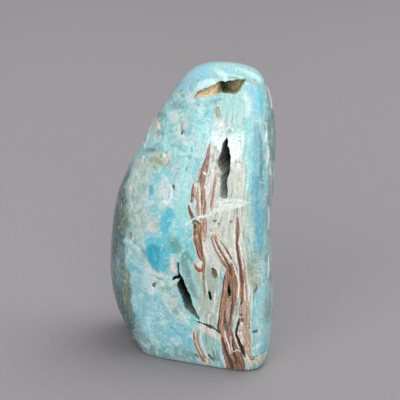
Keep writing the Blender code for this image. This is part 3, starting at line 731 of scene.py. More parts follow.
# The brown sheets, each a stroke that follows the sheets, in its own brown
BROWN_SHEETS = {
    "left_high": ("brown", (
        (5.75, 79.25, 0.6), (5.5, 76.5, 1.2), (4.75, 73.75, 1.9), (4.0, 71.25, 2.4),
        (3.5, 69.0, 2.4), (3.25, 67.0, 1.9), (3.25, 65.0, 1.6))),
    "left_main": ("brown_warm", (
        (3.25, 66.0, 1.2), (3.5, 63.0, 2.0), (3.5, 60.0, 2.1), (3.5, 57.0, 1.8),
        (3.75, 55.5, 0.8))),
    "left_grey": ("ash", ((2.5, 71.25, 0.4), (2.25, 69.0, 0.9), (1.75, 66.5, 0.6))),
    "left_outer": ("brown", ((0.25, 65.75, 0.6), (0.25, 63.5, 1.2), (-0.25, 60.0, 1.1))),
    "left_blush": ("blush", ((1.0, 65.0, 0.4), (1.0, 62.75, 0.8), (1.0, 60.5, 0.6))),
    "left_thin": ("brown_rose", (
        (1.75, 65.0, 0.5), (1.75, 62.0, 1.1), (1.75, 58.75, 1.1), (2.0, 55.5, 0.8))),
    "left_turn": ("brown", ((-1.5, 59.0, 0.4), (-1.0, 57.25, 1.1), (-0.25, 55.25, 1.6),
                            (0.5, 53.5, 1.5))),
    "left_knee": ("tan", ((2.0, 55.25, 0.3), (3.0, 54.0, 1.2), (4.5, 55.0, 0.4))),
    "by_the_slit": ("brown_rose", (
        (8.5, 70.75, 0.4), (7.75, 67.75, 0.7), (7.25, 65.0, 0.8), (7.0, 62.25, 1.0),
        (6.5, 59.5, 1.3), (6.5, 57.5, 0.6))),
    "left_rose": ("brown_rose", ((4.25, 54.0, 1.6), (4.0, 51.25, 2.0), (3.75, 47.0, 1.2))),
    "left_low": ("brown_warm", (
        (1.75, 52.5, 2.4), (1.75, 49.25, 3.3), (1.75, 46.5, 3.1), (2.25, 44.0, 2.5),
        (2.75, 42.0, 2.0), (3.25, 40.5, 1.6), (3.75, 39.0, 1.2), (3.75, 37.0, 1.1),
        (3.75, 33.0, 0.5))),
    "left_olive": ("brown_olive", ((1.75, 50.0, 0.6), (2.25, 47.5, 1.4), (2.25, 45.0, 0.8))),
    "left_rust": ("rust", ((2.25, 45.5, 0.6), (2.5, 43.5, 1.3), (3.25, 41.5, 0.8))),
    "hook": ("rust", ((0.5, 38.5, 0.5), (1.25, 37.0, 1.1), (2.25, 36.25, 1.3), (3.25, 36.75, 1.1),
                      (3.75, 38.25, 0.9))),
    "fan": ("tan", (
        (6.75, 49.25, 0.8), (8.25, 46.5, 1.9), (9.75, 44.0, 2.7), (11.0, 41.75, 3.2),
        (12.25, 40.0, 3.6), (13.25, 38.0, 4.0))),
    "fan_top": ("peach", ((7.5, 49.5, 0.6), (8.75, 49.5, 1.2), (9.5, 48.5, 0.6))),
    "fan_left": ("lavender", ((5.75, 42.0, 0.6), (6.5, 40.0, 1.2), (7.0, 38.5, 0.6))),
    "trunk": ("brown", (
        (13.5, 38.0, 3.4), (13.25, 35.5, 4.4), (13.0, 32.5, 5.0), (13.0, 30.0, 5.2),
        (12.75, 27.5, 5.2), (12.25, 25.0, 5.0), (11.5, 20.0, 5.0), (11.25, 16.5, 5.0),
        (12.0, 14.0, 5.2), (12.5, 11.0, 5.6), (13.25, 8.0, 6.2), (14.5, 4.0, 6.8),
        (15.0, 0.0, 6.6))),
    "trunk_rust": ("rust", ((12.5, 37.5, 0.8), (13.25, 35.5, 1.6), (13.25, 33.0, 0.8))),
    "trunk_olive": ("brown_olive", ((14.25, 35.75, 1.4), (14.5, 33.25, 2.0), (14.5, 30.5, 1.4))),
    "trunk_left": ("brown_warm", (
        (10.75, 33.0, 1.0), (10.75, 29.5, 1.2), (10.25, 25.5, 1.2), (9.75, 21.25, 1.2),
        (9.5, 17.0, 1.6), (10.25, 13.0, 1.4))),
    "trunk_deep": ("brown_deep", ((13.5, 12.0, 0.6), (14.25, 8.0, 1.4), (15.25, 3.5, 1.6))),
    "trunk_rose": ("brown_rose", ((12.25, 27.0, 0.8), (12.0, 23.5, 2.0), (12.0, 19.5, 1.2))),
    "wedge": ("sage", ((15.5, 27.5, 0.6), (15.25, 25.25, 1.1), (14.75, 22.75, 1.4),
                       (14.5, 20.25, 1.4), (14.0, 17.25, 1.2), (14.0, 15.5, 0.6))),
    "right_grey": ("ash", (
        (17.0, 28.0, 1.0), (17.0, 23.5, 2.6), (17.0, 19.5, 2.4), (17.5, 12.0, 1.6))),
    "right_pale": ("rose", ((16.75, 18.75, 0.6), (16.5, 16.0, 1.2), (16.75, 13.0, 1.2),
                            (17.5, 10.5, 0.5))),
    "right_band": ("tan", (
        (17.5, 32.0, 1.0), (18.0, 28.25, 1.8), (18.25, 24.25, 2.5), (18.5, 20.25, 2.6),
        (18.5, 16.0, 2.6), (18.75, 12.0, 2.5), (19.0, 8.5, 2.2), (20.25, 5.5, 1.4))),
    "upright": ("brown", (
        (15.25, 56.0, 0.5), (15.25, 54.25, 0.8), (15.25, 51.5, 1.3), (15.25, 49.5, 1.4),
        (15.0, 47.0, 1.0), (15.5, 44.0, 1.1), (15.75, 41.25, 1.3), (16.5, 38.75, 1.5),
        (16.75, 35.5, 1.9), (17.0, 32.25, 2.0), (16.75, 29.0, 1.7), (16.75, 26.5, 1.0))),
    "upright_rust": ("rust", ((16.5, 37.5, 0.6), (17.0, 33.5, 1.3), (16.5, 29.5, 1.0))),
    "upright_rose": ("brown_rose", (
        (16.0, 45.75, 0.4), (16.25, 43.0, 0.9), (17.25, 40.0, 1.1), (17.75, 36.25, 1.2),
        (18.0, 32.5, 1.3), (18.0, 28.0, 1.1))),
    "foot_left": ("blush", (
        (0.75, 15.25, 0.5), (0.75, 12.5, 1.0), (1.25, 9.5, 1.2), (2.25, 6.75, 1.2),
        (3.5, 4.25, 1.4), (4.75, 1.75, 1.6))),
    "foot_left_brown": ("brown", (
        (0.25, 13.0, 0.3), (0.5, 9.5, 0.5), (1.25, 7.0, 0.6), (2.5, 4.5, 0.8), (4.0, 2.0, 1.0))),
}
# Thin lines in and between the sheets, and painted reflections along the left rim and the right
# edge
LINES = {
    "left_dot_high": ("umber", ((0.75, 52.0, 0.9), (0.75, 51.0, 0.9))),
    "left_dot_low": ("umber", ((0.75, 49.75, 0.7), (0.75, 48.75, 0.5))),
    "left_dot_inner": ("umber", ((1.5, 53.25, 0.5), (2.25, 52.5, 0.4))),
    "left_low_edge": ("umber", (
        (1.0, 47.0, 0.3), (1.5, 43.0, 0.5), (2.25, 41.0, 0.6), (3.0, 39.5, 0.3))),
    "left_low_seam": ("umber", (
        (2.75, 51.0, 0.2), (2.5, 48.0, 0.4), (2.75, 45.0, 0.3), (3.25, 42.5, 0.3))),
    "left_main_seam": ("umber", ((3.5, 64.0, 0.2), (3.0, 61.5, 0.45), (3.25, 57.5, 0.2))),
    "left_main_edge": ("umber", ((4.25, 63.5, 0.1), (4.5, 60.0, 0.3), (4.25, 56.5, 0.2))),
    "left_high_edge": ("umber", (
        (5.25, 78.0, 0.2), (4.25, 74.0, 0.4), (3.0, 70.5, 0.45), (2.5, 67.5, 0.3))),
    "left_outer_edge": ("umber", ((0.0, 65.0, 0.2), (-0.25, 62.5, 0.4), (-0.5, 59.5, 0.3))),
    "left_thin_edge": ("umber", ((2.25, 64.0, 0.1), (2.25, 61.0, 0.3), (2.25, 57.0, 0.2))),
    "left_turn_edge": ("umber", ((-1.25, 58.5, 0.3), (-0.75, 56.25, 0.5), (0.25, 54.0, 0.4))),
    "slit_band_edge": ("brown", (
        (8.0, 70.5, 0.2), (7.25, 67.0, 0.4), (6.75, 63.0, 0.4), (6.25, 59.0, 0.4))),
    "fan_first": ("brown", ((6.25, 48.5, 0.4), (7.0, 46.25, 0.6), (8.0, 44.0, 0.7),
                            (9.25, 41.75, 0.8), (10.25, 40.0, 0.9), (11.5, 38.0, 0.8))),
    "fan_second": ("umber", ((7.0, 48.75, 0.3), (8.0, 46.75, 0.5), (9.0, 44.75, 0.6),
                             (10.0, 42.75, 0.7), (11.25, 41.0, 0.8), (12.25, 39.25, 0.8),
                             (13.0, 37.5, 0.6))),
    "fan_third": ("brown", ((7.75, 49.0, 0.2), (8.75, 47.25, 0.5), (10.0, 45.25, 0.6),
                            (11.25, 43.25, 0.7), (12.5, 41.5, 0.7), (13.5, 39.75, 0.8),
                            (14.25, 37.75, 0.7), (14.75, 36.0, 0.4))),
    "fan_fourth": ("umber", ((9.25, 47.75, 0.2), (10.5, 46.0, 0.4), (11.75, 44.0, 0.5),
                             (13.0, 42.0, 0.5), (14.0, 40.0, 0.5), (14.75, 38.0, 0.4))),
    "upright_core": ("umber", ((15.25, 49.5, 0.3), (15.0, 46.25, 0.6), (15.25, 44.0, 0.7),
                               (15.75, 41.0, 0.7), (16.25, 38.75, 0.6), (16.5, 36.0, 0.5),
                               (16.5, 32.0, 0.3))),
    "trunk_left_edge": ("umber", (
        (11.25, 36.5, 0.3), (10.5, 33.5, 0.4), (10.25, 30.0, 0.35), (9.75, 26.25, 0.45),
        (9.25, 22.0, 0.4), (9.0, 18.75, 0.6), (8.75, 16.25, 0.8), (9.25, 14.5, 0.5))),
    "trunk_top": ("umber", ((12.5, 38.5, 0.4), (12.75, 37.0, 0.8), (13.25, 35.5, 0.4))),
    "trunk_middle": ("umber", ((12.5, 33.5, 0.2), (12.25, 31.0, 0.5), (12.25, 28.0, 0.3))),
    "trunk_seam": ("umber", (
        (13.75, 30.0, 0.2), (13.5, 26.0, 0.45), (13.0, 22.0, 0.5), (12.75, 18.0, 0.3))),
    "trunk_low": ("umber", ((11.25, 24.0, 0.2), (11.0, 21.0, 0.5), (11.25, 17.25, 0.8),
                            (12.0, 15.5, 0.5))),
    "foot_dark_left": ("umber", ((10.25, 12.5, 0.5), (11.25, 8.75, 1.0), (12.0, 6.25, 1.0),
                                 (13.0, 4.0, 1.3), (13.75, 1.5, 1.3))),
    "foot_dark_middle": ("umber", ((13.5, 12.0, 0.4), (13.75, 10.0, 0.8), (14.25, 7.5, 0.6),
                                   (15.25, 4.0, 0.6))),
    "foot_left_edge": ("brown", (
        (1.75, 13.5, 0.2), (1.75, 10.0, 0.3), (2.75, 6.75, 0.4), (4.25, 3.5, 0.5))),
    "right_dot_high": ("umber", ((16.5, 26.5, 0.6), (16.5, 25.5, 0.6))),
    "right_dot_middle": ("umber", ((16.75, 22.0, 0.6), (16.75, 21.25, 0.5))),
    "right_dot_low": ("umber", ((17.0, 20.25, 0.7), (17.25, 19.25, 0.5))),
    "right_band_seam": ("brown", (
        (18.25, 27.0, 0.1), (18.5, 21.0, 0.3), (18.5, 14.0, 0.3), (19.0, 9.0, 0.2))),
    "left_knot": ("ivory", ((3.75, 70.0, 0.7), (4.25, 69.5, 0.9))),
    "left_knot_low": ("ivory", ((4.25, 65.25, 0.7), (4.5, 64.75, 0.6))),
    "left_between": ("ivory", (
        (2.5, 65.25, 0.3), (2.5, 62.0, 0.5), (2.5, 58.75, 0.5), (2.75, 56.0, 0.3))),
    "left_low_right": ("ivory", ((3.5, 50.0, 0.2), (3.5, 46.5, 0.35), (4.0, 43.25, 0.4),
                                 (4.75, 40.75, 0.3))),
    "hook_pale": ("ivory", ((1.5, 38.75, 0.4), (2.25, 38.0, 0.9), (2.75, 39.5, 0.6))),
    "fan_pale_left": ("ivory", ((6.75, 48.5, 0.2), (7.5, 46.75, 0.4), (8.5, 44.25, 0.5),
                                (9.75, 42.25, 0.5), (10.75, 40.5, 0.3))),
    "fan_pale_right": ("ivory", ((8.25, 48.0, 0.2), (9.5, 46.0, 0.5), (10.75, 44.0, 0.6),
                                 (12.0, 42.0, 0.6), (13.0, 40.25, 0.4))),
    "fan_pale_long": ("ivory", ((13.25, 41.25, 0.2), (14.25, 38.75, 0.5), (14.75, 37.0, 0.5),
                                (15.5, 34.5, 0.5), (15.75, 31.5, 0.5), (15.5, 28.0, 0.6))),
    "upright_pale": ("ivory", ((14.25, 53.25, 0.3), (14.25, 48.5, 0.5), (14.25, 44.5, 0.5),
                               (14.75, 41.0, 0.45))),
    "upright_pale_right": ("ivory", ((16.25, 50.25, 0.3), (16.0, 46.75, 0.5), (16.75, 42.0, 0.4),
                                     (17.25, 38.0, 0.3))),
    "right_pink": ("ivory", ((17.5, 33.0, 0.3), (17.75, 29.0, 0.5), (18.0, 27.0, 0.3))),
    "foot_pale_left": ("ivory", ((11.0, 15.25, 0.4), (11.5, 12.5, 0.7), (12.5, 9.75, 0.5),
                                 (13.0, 6.75, 0.3))),
    "foot_pale_middle": ("ivory", ((13.25, 13.5, 0.2), (13.25, 10.25, 0.35), (13.75, 7.5, 0.3))),
    "foot_pale_right": ("ivory", ((14.25, 14.75, 0.4), (15.0, 12.0, 0.45), (16.0, 9.25, 0.3))),
    "foot_arc": ("ivory", ((14.25, 7.75, 0.2), (15.5, 8.5, 0.4), (16.5, 7.75, 0.2))),
    "foot_left_pale": ("ivory", (
        (2.5, 13.25, 0.2), (2.75, 10.25, 0.35), (4.0, 7.0, 0.35), (5.5, 3.75, 0.3))),
    "matrix_high_line": ("sage", ((15.25, 72.25, 0.2), (15.5, 70.0, 0.5), (16.5, 67.5, 0.5))),
    "matrix_by_slit": ("moss", ((12.75, 72.0, 0.25), (13.5, 70.0, 0.1))),
    "matrix_shelf": ("ash", ((13.25, 61.25, 0.2), (15.0, 60.75, 0.35), (17.0, 60.75, 0.2))),
    "matrix_tick": ("ash", ((12.25, 51.5, 0.2), (12.5, 48.75, 0.35))),
    "matrix_dot_right": ("moss", ((13.0, 54.25, 0.9), (13.25, 54.25, 0.7))),
    "matrix_dot_left": ("moss", ((7.0, 54.0, 0.6), (7.75, 54.0, 0.9))),
    "matrix_dot_middle": ("moss", ((8.75, 53.25, 0.8), (8.75, 53.0, 0.6))),
    "matrix_dot_low": ("moss", ((6.25, 48.25, 0.5), (6.25, 47.75, 0.4))),
    "matrix_low": ("brown_olive", ((4.0, 34.5, 0.4), (4.0, 29.5, 0.5), (4.5, 26.0, 0.3))),
    "matrix_curl": ("brown_olive", ((7.0, 37.0, 0.5), (6.75, 35.5, 0.6), (7.75, 34.0, 0.4))),
    "matrix_curl_pale": ("ivory", ((7.0, 38.0, 0.4), (8.5, 37.25, 0.6), (9.0, 35.25, 0.5))),
    # limb_rim_reflection: a painted reflection, a thin bright line along the left rim
    "limb_rim_reflection": ("frost", (
        (-12.5, 84.5, 0.2), (-14.75, 80.5, 0.4), (-15.75, 77.0, 0.5), (-16.75, 74.0, 0.3))),
    "limb_rim_reflection_low": ("frost", ((-17.0, 72.0, 0.5), (-17.5, 69.0, 0.3))),
    "limb_spot": ("cream_bright", ((-11.75, 83.25, 1.0), (-11.5, 82.5, 1.1))),
    "limb_spot_edge": ("moss", ((-10.75, 83.5, 0.3), (-10.5, 82.25, 0.4))),
    "patch_spot": ("cream_bright", ((-9.5, 74.75, 0.8), (-9.5, 73.75, 1.1))),
    "patch_dot_high": ("moss", ((-9.0, 75.25, 0.5), (-8.75, 74.75, 0.4))),
    "patch_dot_left": ("moss", ((-11.0, 74.0, 0.5), (-10.75, 73.25, 0.6))),
    "patch_dot_right": ("brown_olive", ((-8.25, 73.0, 0.4), (-8.0, 71.75, 0.5))),
    "net_mark": ("teal_dark", ((-1.75, 71.5, 0.4), (-2.25, 69.75, 0.6))),
    "net_mark_low": ("teal_dark", ((-0.25, 78.0, 0.4), (-0.25, 76.5, 0.5))),
    "middle_mark": ("moss", ((-10.75, 60.5, 0.2), (-10.0, 59.0, 0.4))),
    "middle_white": ("frost", ((-9.75, 58.75, 1.0), (-8.75, 58.5, 1.2))),
    "middle_edge": ("frost", ((-7.25, 64.5, 0.3), (-7.25, 61.0, 0.6), (-8.0, 59.5, 0.3))),
    "streak_mark": ("teal_dark", ((-16.25, 54.75, 0.3), (-15.25, 53.25, 0.5))),
    "limb_mark_high": ("frost", ((-21.75, 61.5, 0.4), (-21.5, 59.75, 0.6))),
    "limb_shade_high": ("moss", ((-20.75, 61.5, 0.3), (-20.5, 59.5, 0.4))),
    "limb_mark_low": ("frost", ((-21.5, 55.5, 0.6), (-21.0, 54.75, 0.8))),
    "limb_shade_low": ("moss", ((-20.75, 56.25, 0.3), (-20.25, 55.25, 0.4))),
    "limb_dot": ("frost", ((-24.25, 27.0, 0.5), (-23.75, 26.25, 0.5))),
    "knob_edge": ("moss", ((-5.5, 38.0, 0.3), (-5.0, 36.0, 0.6), (-5.0, 34.0, 0.4))),
    "curl_line": ("moss", ((-9.75, 29.5, 0.3), (-9.25, 28.0, 0.5), (-7.5, 26.25, 0.3))),
    "swirl_line": ("ash", ((-14.5, 32.5, 0.2), (-12.5, 31.5, 0.4), (-10.5, 31.25, 0.2))),
    "net_ridge_high": ("cream", ((-15.0, 32.5, 0.5), (-12.25, 32.0, 0.8), (-9.25, 31.5, 0.5))),
    "net_ridge_left": ("rose", ((-14.75, 31.0, 0.4), (-13.5, 29.75, 0.6), (-13.0, 28.25, 0.4))),
    "net_ridge_low": ("cream_bright", ((-16.0, 26.0, 0.4), (-14.0, 25.25, 0.7))),
    "net_ridge_shade": ("moss", ((-15.0, 31.75, 0.2), (-12.25, 31.25, 0.3), (-9.75, 30.75, 0.2))),
    "dome_arc_first": ("frost", ((8.5, 102.0, 0.2), (13.0, 102.25, 0.3), (17.0, 101.75, 0.2))),
    "dome_arc_second": ("frost", ((12.0, 100.75, 0.2), (16.0, 100.5, 0.35), (19.5, 99.5, 0.2))),
    "low_white": ("frost", ((-9.25, 21.25, 0.3), (-8.0, 20.25, 0.6), (-7.5, 19.0, 0.4))),
    "low_dots": ("teal_dark", ((-8.75, 22.5, 0.5), (-7.5, 22.5, 0.5))),
    "low_white_left": ("frost", ((-11.5, 18.5, 0.3), (-10.0, 17.75, 0.5))),
    "low_white_edge": ("frost", ((-19.0, 6.0, 0.2), (-17.5, 4.5, 0.4))),
    # side dashes: painted reflections, broken bright streaks down the rounded right edge
    "side_reflection_first": ("frost", ((25.25, 98.0, 0.3), (26.5, 94.5, 0.6), (26.75, 91.5, 0.4))),
    "side_reflection_second": ("frost", ((24.5, 87.5, 0.4), (24.75, 84.0, 0.8), (24.5, 81.0, 0.5))),
    "side_reflection_third": ("cream_bright", (
        (25.25, 80.5, 0.4), (25.5, 77.0, 0.7), (25.25, 73.5, 0.5))),
    "side_reflection_fourth": ("frost", ((26.0, 72.5, 0.3), (26.25, 70.0, 0.5))),
    "side_reflection_fifth": ("frost", ((25.75, 59.0, 0.3), (26.0, 54.0, 0.5), (25.75, 50.5, 0.3))),
    "side_reflection_sixth": ("frost", ((26.0, 41.5, 0.3), (26.0, 37.5, 0.5), (25.75, 34.0, 0.3))),
    "side_mark": ("teal_dark", ((24.5, 86.5, 0.3), (24.5, 84.5, 0.4))),
    "side_mark_low": ("teal_dark", ((25.5, 81.0, 0.3), (25.75, 78.5, 0.4))),
    "edge_mark": ("teal_dark", ((20.75, 15.5, 0.4), (22.0, 16.25, 0.5))),
    "foot_corner_line": ("moss", ((19.5, 6.25, 0.3), (21.0, 6.0, 0.5), (22.5, 6.25, 0.3))),
    "foot_corner_shade": ("teal_dark", ((23.0, 6.5, 0.3), (24.25, 7.0, 0.4))),
    "edge_olive": ("brown_olive", ((21.5, 33.0, 0.4), (22.0, 31.0, 0.5))),
}
VEINS = {
    "across": ((-2.0, 52.0, 0.4), (0.0, 53.5, 0.5), (2.5, 55.0, 0.8), (5.5, 56.0, 0.9),
               (8.0, 57.5, 1.3), (11.0, 59.0, 2.0), (14.0, 59.5, 2.2), (16.5, 60.5, 2.0),
               (19.0, 61.0, 0.8)),
    "branch": ((9.0, 58.5, 0.6), (10.0, 60.5, 1.1), (13.0, 61.5, 1.0), (16.5, 61.5, 0.8)),
    "left_end": ((-9.0, 52.5, 0.1), (-5.5, 51.0, 0.25), (-1.5, 52.0, 0.3)),
    "patch_rim": ((-16.5, 47.5, 0.2), (-11.0, 48.0, 0.2)),
}


MARK_REACH = 3.0
# How far the edges of sheets, lines and veins wander
SHEET_WAVY = 0.16
LINE_WAVY = 0.1
VEIN_WAVY = 0.3


def painted(strokes, wavy):
    """Each point's signed distance from the nearest of the strokes, and that stroke's colour;
    where strokes overlap, the last one shows."""
    nearest = np.full(len(spots), MARK_REACH)
    shown = np.tile(linear(COLOURS["brown"]), (len(spots), 1))
    for colour, stations in strokes.values():
        distance = stroke_distance(spots + wavy * wander, stations, MARK_REACH)
        on_top = (distance < 0.05) | (distance < nearest)
        shown[on_top] = linear(COLOURS[colour])
        nearest = np.minimum(nearest, distance)
    return nearest, shown


brown, brown_colour = painted(BROWN_SHEETS, SHEET_WAVY)
line, line_colour = painted(LINES, LINE_WAVY)
vein = np.full(len(spots), MARK_REACH)
for stations in VEINS.values():
    vein = np.minimum(vein, stroke_distance(spots + VEIN_WAVY * wander, stations, MARK_REACH))

# How strongly the fine upright streaks show, most among the sheets, and how much the white net
# shows, most to the left of them
streak = eased((sheets + 1.0) / 3.0) * (1.0 - 0.75 * eased((sheets - 19.0) / 2.0))
streak = np.maximum(streak, 0.2 * eased((-sheets - 14.0) / 4.0))
streak = np.maximum(streak, 0.4 * eased((sheets - 22.0) / 4.0))
streak *= 1.0 - 0.6 * eased((spots[:, 1] - 84.0) / 8.0)
net = (1.0 - 0.8 * streak) * (1.0 - 0.8 * calm)

# Inside the hollows: colours of the rim, the wall and the floor, at places across (0) or up (1)
# The near black walls and floors of the slit, the diagonal and its fork, the back slit and the
# other crevices and pits are darker than their rims, partly own colour and partly painted shade.
# two dark pits are painted shade over their own greys, greens and browns; the floors of the
HOLLOW_COLOURS_AND_SHADE = {
    "gash_trough": (0, (
        (0.5, (190, 180, 150), (130, 114, 84), (104, 90, 64)),
        (2.5, (228, 210, 190), (212, 184, 156), (200, 162, 132)),
        (4.0, (230, 212, 188), (222, 186, 156), (212, 172, 140)),
        (6.0, (222, 226, 188), (212, 214, 170), (202, 198, 150)),
        (7.75, (240, 226, 198), (238, 208, 172), (230, 192, 154)),
        (8.75, (232, 226, 186), (222, 212, 164), (204, 192, 146)),
        (9.5, (222, 218, 176), (130, 124, 86), (96, 88, 56)))),
    "gash_hole": (0, (
        (8.75, (226, 220, 178), (214, 204, 154), (190, 178, 130)),
        (9.5, (218, 212, 170), (120, 114, 78), (96, 90, 58)),
        (11.0, (214, 208, 170), (112, 108, 74), (90, 86, 56)),
        (13.5, (222, 220, 190), (164, 158, 120), (142, 134, 100)),
        (15.0, (224, 226, 194), (204, 200, 146), (178, 168, 124)),
        (17.0, (216, 224, 186), (222, 226, 168), (212, 214, 156)))),
    "slit": (1, (
        (63.0, (206, 212, 204), (178, 184, 178), (136, 138, 134)),
        (68.0, (200, 206, 198), (158, 162, 156), (92, 94, 90)),
        (71.0, (204, 206, 196), (134, 132, 126), (10, 10, 9)),
        (77.0, (204, 204, 194), (96, 94, 90), (8, 8, 7)),
        (82.0, (150, 150, 140), (34, 34, 32), (6, 6, 6)))),
    "diagonal": (1, (
        (17.0, (156, 176, 166), (106, 126, 116), (38, 54, 46)),
        (21.5, (156, 174, 164), (76, 94, 84), (18, 32, 26)),
        (25.0, (140, 150, 136), (28, 40, 32), (10, 20, 14)),
        (27.5, (130, 140, 120), (8, 10, 8), (4, 6, 5)))),
    "diagonal_fork": (1, ((33.0, (130, 140, 120), (18, 22, 16), (6, 8, 6)),)),
    "foot_crevice": (1, ((14.0, (174, 160, 140), (138, 120, 104), (84, 70, 58)),)),
    "foot_crack": (1, ((16.0, (186, 184, 170), (140, 138, 124), (66, 64, 54)),)),
    "back_slit": (1, ((57.0, (176, 182, 174), (110, 114, 106), (24, 26, 22)),)),
    "back_gash": (0, ((-5.0, (222, 208, 180), (196, 180, 146), (130, 116, 88)),)),
    "pit_00": (1, ((27.0, (160, 162, 142), (40, 40, 34), (10, 10, 9)),)),
    "pit_01": (1, ((30.0, (124, 98, 80), (36, 26, 18), (10, 8, 6)),)),
    "pit_02": (1, ((36.0, (206, 206, 186), (168, 164, 132), (120, 114, 84)),)),
    "pit_14": (1, ((80.0, (200, 206, 192), (196, 196, 178), (182, 180, 162)),)),
    "pit_12": (1, ((90.0, (206, 212, 200), (206, 206, 190), (184, 184, 166)),)),
}
PIT_COLOURS_AND_SHADE = (1, ((0.0, (186, 200, 192), (150, 164, 154), (118, 132, 122)),))
# The gash's colours lean to the right going up, about the middle of its height
GASH_LEAN = -0.35
GASH_MIDDLE = 99.0
# How far in the colour is the wall's, from where it turns to the floor's, and over what depth
# along which the painted shade of the narrow hollows deepens toward their floors
WALL_AT = 0.22
FLOOR_FROM = 0.5
FLOOR_SOFT = 0.4
lining = np.zeros((len(skin), 3))
for name in hollows:
    axis, rows = HOLLOW_COLOURS_AND_SHADE.get(name, PIT_COLOURS_AND_SHADE)
    here = deepest == name
    along = spots[here, axis]
    if name in ("gash_trough", "gash_hole"):
        along = along + GASH_LEAN * (spots[here, 1] - GASH_MIDDLE)
    places = [row[0] for row in rows]
    rim, wall, floor_colour_and_shade = (
        np.stack([np.interp(along, places, linear([row[part] for row in rows])[:, channel])
                  for channel in range(3)], 1) for part in (1, 2, 3))
    to_wall = eased(openness[here] / WALL_AT)[:, None]
    to_floor = eased((openness[here] - FLOOR_FROM) / FLOOR_SOFT)[:, None]
    sides = rim * (1.0 - to_wall) + wall * to_wall
    lining[here] = sides * (1.0 - to_floor) + floor_colour_and_shade * to_floor


def store(name, values):
    """Puts one value, or one colour, for each vertex on the stone's mesh."""
    if values.ndim == 1:
        stone_mesh.attributes.new(name, "FLOAT", "POINT").data.foreach_set("value", values)
    else:
        flat = np.hstack([values, np.ones((len(values), 1))]).ravel()
        stone_mesh.attributes.new(name, "FLOAT_COLOR", "POINT").data.foreach_set("color", flat)


for name, values in (("openness", openness), ("ground", ground), ("lining", lining),
                     ("brown", brown), ("brown_colour", brown_colour), ("line", line),
                     ("line_colour", line_colour), ("vein", vein), ("streak", streak), ("net", net),
                     ("sheets", sheets)):
    store(name, values)


# The polish: a hard shine over stone whose colour lies in clouds, a white net, fine upright
# streaks and brown sheets, duller on the brown and dull inside the hollows.
material = bpy.data.materials.new("polished_aragonite")
material.use_nodes = True
tree = material.node_tree
shader = tree.nodes["Principled BSDF"]


def put(kind, inputs=(), **settings):
    """A new node; an input is a value or another node's output."""
    made = tree.nodes.new(kind)
    for key, value in settings.items():
        setattr(made, key, value)
    for key, value in dict(inputs).items():
        if isinstance(value, bpy.types.NodeSocket):
            tree.links.new(value, made.inputs[key])
        else:
            made.inputs[key].default_value = value
    return made


def stored(name, output="Fac"):
    """What is kept under a name on the mesh's vertices."""
    return put("ShaderNodeAttribute", attribute_name=name).outputs[output]


def maths(operation, first, second=0.0):
    """Two values brought together."""
    return put("ShaderNodeMath", {0: first, 1: second}, operation=operation).outputs[0]


def product(first, *others):
    """The values multiplied, from the left."""
    for other in others:
        first = maths("MULTIPLY", first, other)
    return first


def ranged(value, start, end, low=0.0, high=1.0):
    """A value brought from start..end to low..high, with gentle ends."""
    return put("ShaderNodeMapRange", {"Value": value, "From Min": start, "From Max": end,
                                      "To Min": low, "To Max": high},
               interpolation_type="SMOOTHSTEP").outputs["Result"]


def mixed(share, first, second, blend="MIX"):
    """Two colours mixed; a colour may be a node's output or bytes."""
    values = [value if isinstance(value, bpy.types.NodeSocket) else (*linear(value), 1.0)
              for value in (first, second)]
    return put("ShaderNodeMix", {0: share, 6: values[0], 7: values[1]}, data_type="RGBA",
               blend_type=blend).outputs[2]


def shaded(colour, factor):
    """A colour made paler or darker by a factor."""
    grey = put("ShaderNodeCombineColor", {0: factor, 1: factor, 2: factor}).outputs[0]
    return mixed(1.0, colour, grey, blend="MULTIPLY")


def toward(colour, name, *shares):
    """A colour mixed with one of the palette by the product of the shares."""
    return mixed(product(*shares), colour, COLOURS[name])


def grains(vector, size, detail=3.0, roughness=0.55, output="Fac"):
    """Noise whose lumps are about this many metres across."""
    return put("ShaderNodeTexNoise", {"Vector": vector, "Scale": 1.0 / size, "Detail": detail,
                                      "Roughness": roughness}).outputs[output]


place = put("ShaderNodeTexCoord").outputs["Object"]
swirl = put("ShaderNodeVectorMath", {0: grains(place, 4.5 * MM, detail=1.5, output="Color"),
                                     1: (0.5, 0.5, 0.5)}, operation="SUBTRACT").outputs[0]
swirl = put("ShaderNodeVectorMath", {0: swirl, "Scale": 7.0 * MM}, operation="SCALE").outputs[0]
swirled = put("ShaderNodeVectorMath", {0: place, 1: swirl}, operation="ADD").outputs[0]
upright = put("ShaderNodeSeparateXYZ", {0: place}).outputs
net_share = stored("net")
streak_share = stored("streak")

# grown patches, some paler and some deeper, with white borders here and there
CELL = 3.4 * MM
cells = put("ShaderNodeTexVoronoi", {"Vector": swirled, "Scale": 1.0 / CELL})
tone = put("ShaderNodeSeparateColor", {0: cells.outputs["Color"]}).outputs[0]
borders = put("ShaderNodeTexVoronoi", {"Vector": swirled, "Scale": 1.0 / CELL},
              feature="DISTANCE_TO_EDGE").outputs["Distance"]
colour = stored("ground", "Color")
colour = toward(colour, "milk", ranged(tone, 0.6, 0.95), net_share, 0.3)
colour = toward(colour, "turquoise", ranged(tone, 0.35, 0.05), net_share, 0.4)
cloud = ranged(grains(swirled, 3.4 * MM, detail=1.5), 0.48, 0.68)
colour = toward(colour, "milk", cloud, net_share, 0.55)
patch = ranged(grains(swirled, 2.6 * MM, detail=1.5), 0.44, 0.3)
colour = toward(colour, "teal", patch, net_share, 0.45)
strands = product(ranged(borders, 0.08, 0.0), ranged(grains(place, 4.5 * MM), 0.48, 0.6))
colour = toward(colour, "frost", strands, net_share, 0.35)

